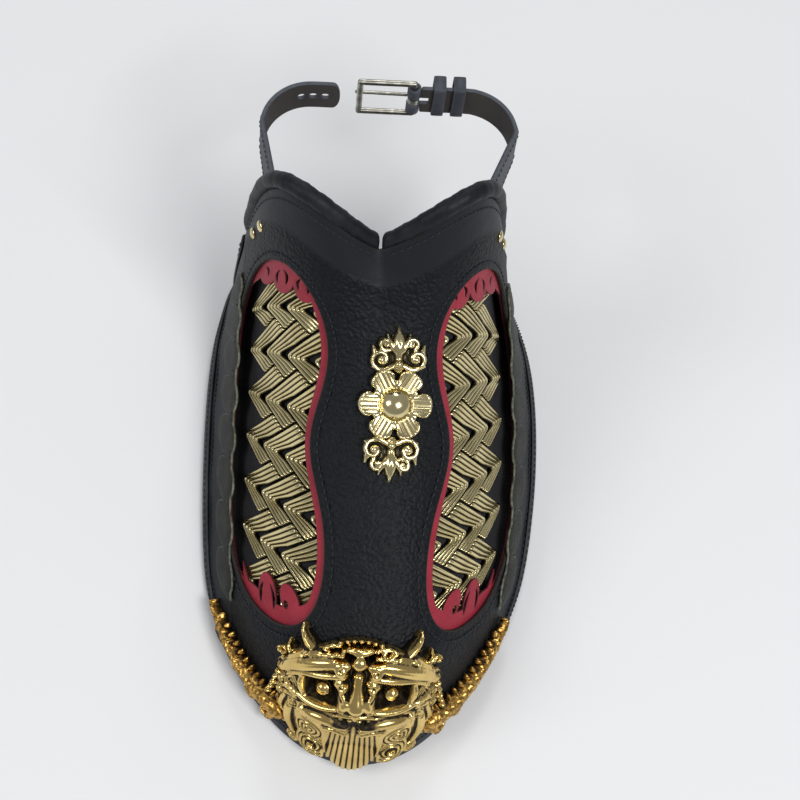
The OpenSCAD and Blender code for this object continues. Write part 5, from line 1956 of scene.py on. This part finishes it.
@dataclass
class Wing:
    """A wing like a scaly tail, with leafy lobes along its outer edge and teeth on its back."""

    shop: Workshop
    side: Side
    root: float = 33.2
    web: float = 1.4
    lozenge: float = 3.0
    teeth: int = 11

    def build(self) -> None:
        """Makes the wing."""
        s, label = self.side.value, self.side.label
        loop = np.array([(s * (self.root + x), y) for x, y in WING_WEB])
        outline = [resampled(loop, 1.0)]
        cast = Casting(self.strokes(s), outline, self.ground, 0.5, self.scaly)
        piece = cast.piece(f"wing_cast_{label}", self.shop.form.toe)
        self.shop.fit(piece, self.shop.finishes.wing, "gilt_wing", (f"mask_wing_{label}",))

    def ground(self, flat: Array) -> Array:
        """The thin web between the lobes."""
        return np.full(len(flat), self.web)

    def scaly(self, flat: Array) -> Array:
        """Small lozenge scales over the whole wing."""
        x, y = flat.T
        return 0.26 * wave(x + y, self.lozenge) * wave(x - y, self.lozenge)

    def strokes(self, s: int) -> list:
        """The rolls of the wing: its back, hooked lobes, teeth and forked tip."""
        x0 = self.root
        made = [WING_BACK.on(s, x0)]
        for x, y, size in WING_LOBES:
            hook = Stroke(tuple((size * dx, size * dy, z, size * r) for dx, dy, z, r in WING_HOOK))
            made += [hook.on(s, x0 + x, y), WING_LEAF.on(s, x0 + x, y)]
            made.append(bead(s * (x0 + x), y + 2.2, 4.0, 0.9, 0.05, 0))
        for f in np.linspace(0, 1, self.teeth):
            tooth = (
                roll((0, 0, 2.0, 1.1), (-0.9, 2.6, 2.0, 0.4)),
                roll((0, -2.6, 5.0 - f, 1.0), (1.0, -6.0, 4.8 - f, 0.7)),
                roll((1.6, -5.4, 5.0 - f, 0.8), (2.4, -8.4, 4.2 - f, 0.55)),
            )
            made += [part.on(s, x0 + 3 + 32 * f, 20.6 + 2 * f + 14 * f * f) for part in tooth]
        return made + [part.on(s, x0) for part in WING_TIP]


# Rolls and curls of a spray of the flower, their y counted from the spray's foot.
SPRAY = (
    Curl(6.7, 4.3, 4, 250, 400, 2.2, 1, 0.8),
    Curl(5, 10.2, 2.7, 300, 380, 1.9, 0.95, 0.9),
    roll((1.4, 7.4, 2.6, 0.9), (3.2, 10.6, 2.4, 1), (4.4, 14, 1.7, 0.35)),
    roll((2, 1.6, 2.2, 1.3), (5.6, 0.2, 2.2, 1.2), (10, 1.4, 1.8, 0.7)),
    roll((9.2, 7, 1.8, 1.2), (9.8, 9.4, 1.6, 0.5)),
)
SPRAY_STEM = ((0, 0.8, 1.6, 2.2), (0, 5, 1.9, 1.5), (0, 9.6, 1.8, 2.5), (0, 12.6, 1.6, 1.9))


@dataclass
class Flower:
    """The flower on the instep: petals and boss with a spray of leaves above and below."""

    shop: Workshop
    u: float = 3.8
    t: float = 0.045
    lift: float = 0.6
    tilt: float = -2.0
    length: float = 59.0
    petals: int = 6
    petal_ring: float = 10.8
    petal_radius: float = 3.6
    petal_spread: float = 1.42
    petal_half: float = 5.2
    flute: float = 1.35
    beads: int = 30
    boss_radius: float = 6.8
    boss_sunk: float = 1.0
    boss_level: float = 1.8
    boss_foot: tuple = ((6.9, 0.9), (7.2, 0.75), (7.3, 0.45), (7.2, 0.1), (6.8, 0.0))

    def laid(self, u: float, t: float, depth: float, turn: float) -> Laying:
        """Places flat points on a plane that stands on the leather."""
        p, x, y, z = self.shop.form.frame_on(u, t, depth)
        c, s = math.cos(math.radians(turn)), math.sin(math.radians(turn))
        ax, ay = c * x + s * y, -s * x + c * y

        def put(flat: Array, height: Array) -> Array:
            """Flat points and heights as places in space."""
            return p + flat[:, :1] * ax + flat[:, 1:2] * ay + np.reshape(height, (-1, 1)) * z

        return put

    def build(self) -> None:
        """Makes the four castings."""
        put = self.laid(self.u, self.t, self.lift, self.tilt)
        self.petal_casting(put)
        self.boss(put)
        reach = self.length / 2
        middle = (reach + self.petal_ring + self.petal_radius - 1.2) / 2
        ridge = self.shop.form.ridge
        here = np.interp(self.u, ridge[1], ridge[0])
        for name, way, turn, depth in (("upper", 1, 0, 0.45), ("lower", -1, 180, 0.25)):
            u = float(np.interp(here + way * middle, ridge[0], ridge[1]))
            put = self.laid(u, self.t + 0.012 * way, depth, turn + self.tilt)
            self.spray(name, put, middle - reach)

    def petal_casting(self, put: Laying) -> None:
        """Six fluted petals round a ring of beads."""
        ring, radius = self.petal_ring, self.petal_radius
        loops = [oval(0, 0, ring - 1, ring - 1, 0, 60)]
        angles = [2 * math.pi * (k + 0.5) / self.petals + math.pi / 2 for k in range(self.petals)]
        for a in angles:
            x, y = ring * math.cos(a), ring * math.sin(a)
            loops.append(oval(x, y, radius, radius * self.petal_spread, math.degrees(a), 30))

        def ground(flat: Array) -> Array:
            """Cupped petals with raised rims, flutes and a centre crease."""
            x, y = flat.T
            best = np.full(len(flat), 1.2)
            for a in angles:
                along = x * math.cos(a) + y * math.sin(a)
                side = y * math.cos(a) - x * math.sin(a)
                bulge = np.sin(np.pi * np.clip((along - 3.5) / 11.9, 0.02, 0.98))
                v = np.clip(np.abs(side) / (self.petal_half * np.clip(bulge, 0, 1) ** 0.55), 0, 1.3)
                cup = 1.5 + 1.15 * v**2 + 0.14 * along - 0.5 * bell(side, 0.45)
                cup = cup + 0.30 * wave(side, self.flute) * np.clip(1 - v, 0, 1) ** 0.3
                best = np.maximum(best, np.where((v < 1.0) & (along > 3), cup, 1.6 - 0.4 * v))
            r = np.hypot(x, y)
            beaded = 2.2 - 0.8 * np.abs(r - 8.0) + 0.35 * np.cos(np.arctan2(y, x) * self.beads)
            return np.where(r < 9.2, np.maximum(best, beaded), best)

        piece = Casting([], loops, ground, 0.42).piece("petal_cast", put)
        self.shop.fit(piece, self.shop.finishes.flower, "gilt_casting", ("flower_petals",))

    def boss(self, put: Laying) -> None:
        """The polished dome with a rolled foot."""
        sides, sunk, radius = 64, self.boss_sunk, self.boss_radius
        bows = np.radians(90 - 6.0 * np.arange(1, 15))
        profile = [(radius * math.cos(a), radius * math.sin(a) - sunk) for a in bows]
        profile += self.boss_foot
        points = np.vstack([lathed(profile, sides), [(0, 0, radius - sunk)]])
        rings = len(profile)
        faces = [f[::-1] for f in tube_faces(rings, sides, caps=False)]
        faces += [[k, (k + 1) % sides, rings * sides] for k in range(sides)]
        faces.append([(rings - 1) * sides + k for k in range(sides)][::-1])
        values = {"hollow": np.zeros(len(points))}
        laid = put(points, points[:, 2] + self.boss_level)
        piece = build_mesh("boss_cast", laid, faces, values)
        self.shop.fit(piece, self.shop.finishes.flower, "gilt_casting", ("flower_boss",))

    def spray(self, name: str, put: Laying, foot: float) -> None:
        """One spray: rosette curls at its foot, leaves and a pointed tip."""
        stem = Stroke(SPRAY_STEM).on(1, 0, foot).points + ((0, 0.4 - foot, 1.1, 0.3),)
        strokes = [Stroke(stem), bead(0, 2.6 + foot, 3.4, 1.6, 0.02, 0)]
        for s in (-1, 1):
            outer, inner, *leaves = (part.on(s, 0, foot) for part in SPRAY)
            strokes += [outer, bead(s * 6.7, 4.3 + foot, 2.6, 1.6, s * 0.02, 0)]
            strokes += [inner, bead(s * 5.0, 10.2 + foot, 2.0, 1.1, s * 0.02, 0), *leaves]

        def vein(flat: Array) -> Array:
            """A centre vein on the tip leaf."""
            tip = ramp(flat[:, 1] - 9 - foot, 2) * np.clip(1.6 - np.abs(flat[:, 0]), 0, 1)
            return -tip * 0.6 * bell(flat[:, 0], 0.3)

        def ground(flat: Array) -> Array:
            """A low ground, fluted like the petals."""
            return 1.25 + 0.22 * wave(np.abs(flat[:, 0]), 1.2)

        base = [oval(s * 6.7, 4.3 + foot, 4.3, 4.3) for s in (-1, 1)]
        base += [oval(0, 4.6 + foot, 5.0, 4.4)]
        base += [oval(s * 5.0, 10.2 + foot, 3.0, 3.0) for s in (-1, 1)]
        base += [oval(0, 11.5 + foot, 3.0, 3.4)]
        piece = Casting(strokes, base, ground, 0.38, vein).piece(f"spray_cast_{name}", put)
        self.shop.fit(piece, self.shop.finishes.flower, "gilt_casting", (f"spray_{name}",))


# ---- heel strap


@dataclass
class StrapLine:
    """The way of one half of the heel strap, from under the ear round the heel."""

    form: FootForm
    side: Side
    end_x: float
    thick: float = 1.8
    under_gap: float = 0.9
    height: float = 96.0
    back: float = 128.0
    corner: float = 20.0
    loop_x: float = 51.0
    ear_u: float = 5.6
    ear_t: float = 0.62
    ear_places: tuple = ((-0.09, 0), (0, 0), (0.1, 0), (0.24, 2), (0.42, 3.8))
    points: Array = field(init=False)
    outs: Array = field(init=False)
    walked: Array = field(init=False)

    def __post_init__(self) -> None:
        """Works out the line once: under the ear, across to the loop, and round its corner."""
        s, corner = self.side.value, self.corner
        under = -LEATHER - self.under_gap - self.thick / 2
        places = []
        for du, dip in self.ear_places:
            u, t = self.ear_u + du, s * (self.ear_t + 0.1 * du)
            places.append((self.form.at(u, t, under - dip)[0], self.form.outward(u, t)[0]))
        start, last = places[-1]
        target = np.array([s * self.loop_x, self.loop_y - corner, self.height])
        for f in (0.25, 0.5, 0.75):
            out = unit(last * (1 - f) + np.array([s, 0, 0]) * f)
            places.append((start + (target - start) * f, out))
        for a in np.radians(np.linspace(0, 90, 7)):
            x = s * (self.loop_x - corner + corner * math.cos(a))
            y = self.loop_y - corner + corner * math.sin(a)
            places.append(((x, y, self.height), (s * math.cos(a), math.sin(a), 0)))
        places.append(((s * self.end_x, self.loop_y, self.height), (0, 1.0, 0)))
        line = smooth_line([np.concatenate(pair) for pair in places], 10)
        self.points, self.outs = line[:, :3], unit(line[:, 3:])
        self.walked = walked(self.points)

    @property
    def loop_y(self) -> float:
        """How far back the strap's loop reaches."""
        return self.back - self.form.middle_y

    @property
    def length(self) -> float:
        """How long the half strap is."""
        return float(self.walked[-1])

    def _read(self, rows: Array, along: Array) -> Array:
        """Rows kept for the line's points, read off at distances along it."""
        return np.stack([np.interp(along, self.walked, column) for column in rows.T], axis=1)

    def laid(self, flat: Array, height: Array) -> Array:
        """Flat points, along the strap and across it, as places in space."""
        along = np.clip(flat[:, 0], 0, self.length)
        ahead, behind = np.minimum(along + 0.4, self.length), np.maximum(along - 0.4, 0)
        run = unit(self._read(self.points, ahead) - self._read(self.points, behind))
        up = unit(np.cross(unit(self._read(self.outs, along)), run)) * self.side.value
        face = np.cross(run, up) * self.side.value
        place = self._read(self.points, along)
        return place + flat[:, 1:2] * up + np.reshape(height, (-1, 1)) * face


@dataclass
class HeelStrap:
    """The two halves of the strap, the keepers, the buckle and the rivets."""

    shop: Workshop
    width: float = 16.0
    thick: float = 1.8
    tip_x: float = 20.0
    tip_round: float = 3.0
    hinge_x: float = 10.0
    hinge_end: float = 2.6
    bar_radius: float = 1.25
    prong_slot: tuple = (3.6, 2.1)
    hole_radius: float = 1.8
    hole_pitch: float = 5.0
    first_hole: float = 6.0
    holes: int = 3
    seam_inset: float = 2.0
    fixed_x: float = 20.3
    sliding_x: float = 28.3
    keeper_play: float = 0.3
    keeper_wall: float = 1.1
    keeper_width: float = 5.0
    keeper_corner: float = 1.0
    rivet_spread: float = 0.031
    rivet_length: float = 5.8

    def build(self) -> None:
        """Makes the leather, dresses the metal."""
        self.tongue()
        self.buckle_strap()
        self.keeper("fixed", self.fixed_x, Body.COVER)
        self.keeper("sliding", self.sliding_x, Body.KEEPER)
        for side in Side:
            self.rivets(side)
        for name in ("buckle_frame", "buckle_prong"):
            for slot in bpy.data.objects[name].material_slots:
                slot.material = self.shop.finishes.steel
            LOG.info("%s: steel", name)

    def half_strap(self, line: StrapLine, loops: list, pitch: float, stitch_end: float) -> None:
        """Cuts one half of the strap and sews its two seams.

        Args:
            line: the way that it lies.
            loops: its flat outline and what is cut from it.
            pitch: spacing of points along its edges.
            stitch_end: how far before its end the stitches stop.
        """
        label, finishes = line.side.label, self.shop.finishes
        half = self.thick / 2
        pattern = FlatPattern(loops, 2.0, pitch, 0.45)
        name, nodes = f"ankle_strap_{label}", (f"strap_{label}",)
        piece = pattern.piece(name, line.laid, half, -half, under_index=1)
        self.shop.fit(piece, finishes.strap, "strap_leather", nodes, under=finishes.suede)
        inset = self.width / 2 - self.seam_inset
        reach = np.linspace(12, line.length - stitch_end, 80)
        seams = [np.array([(x, y) for x in reach]) for y in (-inset, inset)]
        self.shop.sew(f"strap_stitching_{label}", seams, half + 0.05, "strap_leather", line.laid)

    def band_loop(self, end: float, tip: float) -> Array:
        """The strap's outline, its far end rounded by tip."""
        w, turn = self.width / 2, np.radians(np.linspace(-90, 90, 15))
        cap = [(end - tip + tip * math.cos(a), w * math.sin(a)) for a in turn]
        return np.array([(0, w), (0, -w)] + cap)

    def tongue(self) -> None:
        """The left half, with its pin holes."""
        line = StrapLine(self.shop.form, Side.LEFT, self.tip_x)
        loops = [(Cut.ADD, self.band_loop(line.length, self.tip_round))]
        for k in range(self.holes):
            x = line.length - self.first_hole - k * self.hole_pitch
            loops.append((Cut.REMOVE, oval(x, 0, self.hole_radius, self.hole_radius, 0, 20)))
        self.half_strap(line, loops, 0.7, 5)

    def buckle_strap(self) -> None:
        """The right half, slotted for the prong and folded round the buckle's hinge bar."""
        line = StrapLine(self.shop.form, Side.RIGHT, self.hinge_x + self.hinge_end)
        depth, half = self.prong_slot
        start, end = line.length - depth, line.length + 2
        slot = np.array([(start, -half), (end, -half), (end, half), (start, half)])
        loops = [(Cut.ADD, self.band_loop(line.length, 0.6)), (Cut.REMOVE, slot)]
        self.half_strap(line, loops, 0.8, 8)
        self.fold(line)

    def fold(self, line: StrapLine) -> None:
        """The two leather ears of the fold round the hinge bar."""
        inner = self.bar_radius + 0.1
        outer, soft, half, sides = inner + 0.8 * self.thick, 0.35, self.width / 2, 28
        points, faces = [], []
        for low, high in ((-half, -2.2), (2.2, half)):
            near, far = outer - soft, outer
            section = [(inner, low), (near, low), (far, low + soft)]
            section += [(far, high - soft), (near, high), (inner, high)]
            base = len(points)
            for a in ring_angles(sides):
                x, y = math.cos(a), math.sin(a)
                points += [
                    (self.hinge_x + r * x, line.loop_y + r * y, line.height + z) for r, z in section
                ]
            faces += [[base + v for v in f] for f in tube_faces(sides, len(section), closed=True)]
        values = {"edge": np.tile([2.0, 0.2, 0.3, 0.3, 0.2, 2.0], 2 * sides)}
        piece = build_mesh("strap_fold", np.array(points), faces, values)
        self.shop.fit(piece, self.shop.finishes.strap, "strap_leather")

    def keeper(self, name: str, x: float, body: Body) -> None:
        """A leather loop round the strap."""
        play, wall = self.keeper_play, self.keeper_wall
        depth = 3 * self.thick + 2 * play
        loop_y = StrapLine.back - self.shop.form.middle_y
        cy, cz = loop_y + (depth - self.thick) / 2 - play, StrapLine.height
        high = (depth / 2 + wall / 2, self.width / 2 + play + wall / 2)
        ring = rounded_box((-high[0], -high[1]), high, self.keeper_corner, 6)
        ring = resampled(ring, 0.7)
        out = -left_of(unit(np.roll(ring, -1, 0) - np.roll(ring, 1, 0)))
        h, w = wall / 2, self.keeper_width / 2
        section = [(-h, -w), (h - 0.3, -w), (h, -w + 0.35), (h + 0.06, 0)]
        section += [(h, w - 0.35), (h - 0.3, w), (-h, w)]
        points = [
            (x + dx, cy + p[0] + o[0] * dn, cz + p[1] + o[1] * dn)
            for p, o in zip(ring, out)
            for dn, dx in section
        ]
        faces = tube_faces(len(ring), len(section), closed=True)
        values = {"edge": np.tile([2, 0.1, 0.3, 3, 0.3, 0.1, 2.0], len(ring))}
        piece = build_mesh(f"keeper_loop_{name}", np.array(points), faces, values)
        node = f"{name}_keeper"
        self.shop.fit(piece, self.shop.finishes.strap, "strap_leather", (node,), body)

    def rivets(self, side: Side) -> None:
        """The two domed rivets that hold the strap under one ear."""
        end = -self.rivet_length
        profile = [(0.001, 1.25), (0.8, 1.2), (1.5, 1.0), (2.05, 0.65), (2.35, 0.3), (2.4, 0.05)]
        profile += [(2.3, 0.0), (1.2, 0.0), (1.2, end), (2.1, end), (2.1, end - 0.5)]
        profile += [(1.8, end - 0.6), (0.001, end - 0.6)]
        sides = 28
        rings = lathed(profile, sides)
        points, faces = [], []
        for k in (-1, 1):
            t = side.value * (StrapLine.ear_t + self.rivet_spread * k)
            p, *axes = self.shop.form.frame_on(StrapLine.ear_u, t, 0.0)
            base = len(points) * len(rings)
            points.append(p + rings @ np.array(axes))
            faces += [[base + v for v in f[::-1]] for f in tube_faces(len(profile), sides)]
        values = {"hollow": np.zeros(len(points) * len(rings))}
        piece = build_mesh(f"rivet_heads_{side.label}", np.vstack(points), faces, values)
        node = f"strap_rivets_{side.label}"
        self.shop.fit(piece, self.shop.finishes.flower, "gilt_casting", (node,))


# ---- studio


@dataclass
class Studio:
    """Pale floor, plain soft lamps and the camera at the photograph's angle."""

    azimuth: float = -7.0
    height: float = 68.0
    roll: float = 8.6
    distance: float = 0.7
    target: tuple = (-0.004, -0.0223, 0.060)
    lens: float = 79.5
    sensor: float = 36.0
    shift: tuple = (0.04, 0.0825)
    floor_half: float = 3000.0
    air: tuple = (0.93, 0.95, 1.0, 1)
    air_strength: float = 0.32
    lamps: tuple = (
        ("key_lamp", (0.55, -0.70, 1.35), 0.6, 15.0),
        ("fill_lamp", (-0.95, -0.25, 1.0), 0.5, 5.0),
        ("rim_lamp", (0.1, 1.0, 1.0), 0.4, 4.0),
    )
    lamp_aim: tuple = (0, 0, 0.06)

    def build(self) -> None:
        """Sets up everything round the piece."""
        bpy.context.scene.view_settings.view_transform = "Standard"
        self.floor()
        self.world()
        for lamp in self.lamps:
            self.lamp(*lamp)
        self.camera()

    def floor(self) -> None:
        """A wide sheet of paper."""
        count = 9
        line = np.linspace(-self.floor_half, self.floor_half, count)
        points = np.array([(x, y, 0) for y in line for x in line])
        floor = build_mesh("studio_floor", points, grid_faces(count, count))
        floor.data.materials.append(StudioPaper().material())

    def world(self) -> None:
        """An even pale surround."""
        world = bpy.data.worlds.new("studio_air")
        world.use_nodes = True
        shade = world.node_tree.nodes["Background"]
        shade.inputs["Color"].default_value = self.air
        shade.inputs["Strength"].default_value = self.air_strength
        bpy.context.scene.world = world

    def lamp(self, name: str, place: tuple, size: float, power: float) -> None:
        """A square soft lamp aimed at the piece."""
        light = bpy.data.lights.new(name, "AREA")
        light.shape, light.size, light.energy = "SQUARE", size, power
        lamp = placed(name, light)
        lamp.location = place
        away = Vector(place) - Vector(self.lamp_aim)
        lamp.rotation_euler = away.to_track_quat("Z", "Y").to_euler()

    def camera(self) -> None:
        """The camera, turned about its own line of sight by roll."""
        az, el, roll_by = (math.radians(v) for v in (self.azimuth, self.height, self.roll))
        away = Vector((math.sin(az) * math.cos(el), -math.cos(az) * math.cos(el), math.sin(el)))
        right = Vector((math.cos(az), math.sin(az), 0))
        up = away.cross(right)
        aside = math.cos(roll_by) * right + math.sin(roll_by) * up
        upward = -math.sin(roll_by) * right + math.cos(roll_by) * up
        lens = bpy.data.cameras.new("photo_camera")
        lens.lens, lens.sensor_width = self.lens, self.sensor
        lens.shift_x, lens.shift_y = self.shift
        camera = placed("photo_camera", lens)
        place = Vector(self.target) + away * self.distance
        turn = Matrix((aside, upward, away)).transposed()
        camera.matrix_world = Matrix.Translation(place) @ turn.to_4x4()
        bpy.context.scene.camera = camera


def main() -> None:
    """Builds the sabaton and its studio."""
    logging.basicConfig(level=logging.INFO, format="%(message)s")
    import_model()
    form, window = FootForm(), Window()
    shop = Workshop(form, Finishes())
    Cover(shop).build(window)
    for side in Side:
        WindowDressing(shop, window, side).build()
    Mask(shop).build()
    for side in Side:
        Wing(shop, side).build()
    Flower(shop).build()
    HeelStrap(shop).build()
    Studio().build()


if __name__ == "__main__":
    main()
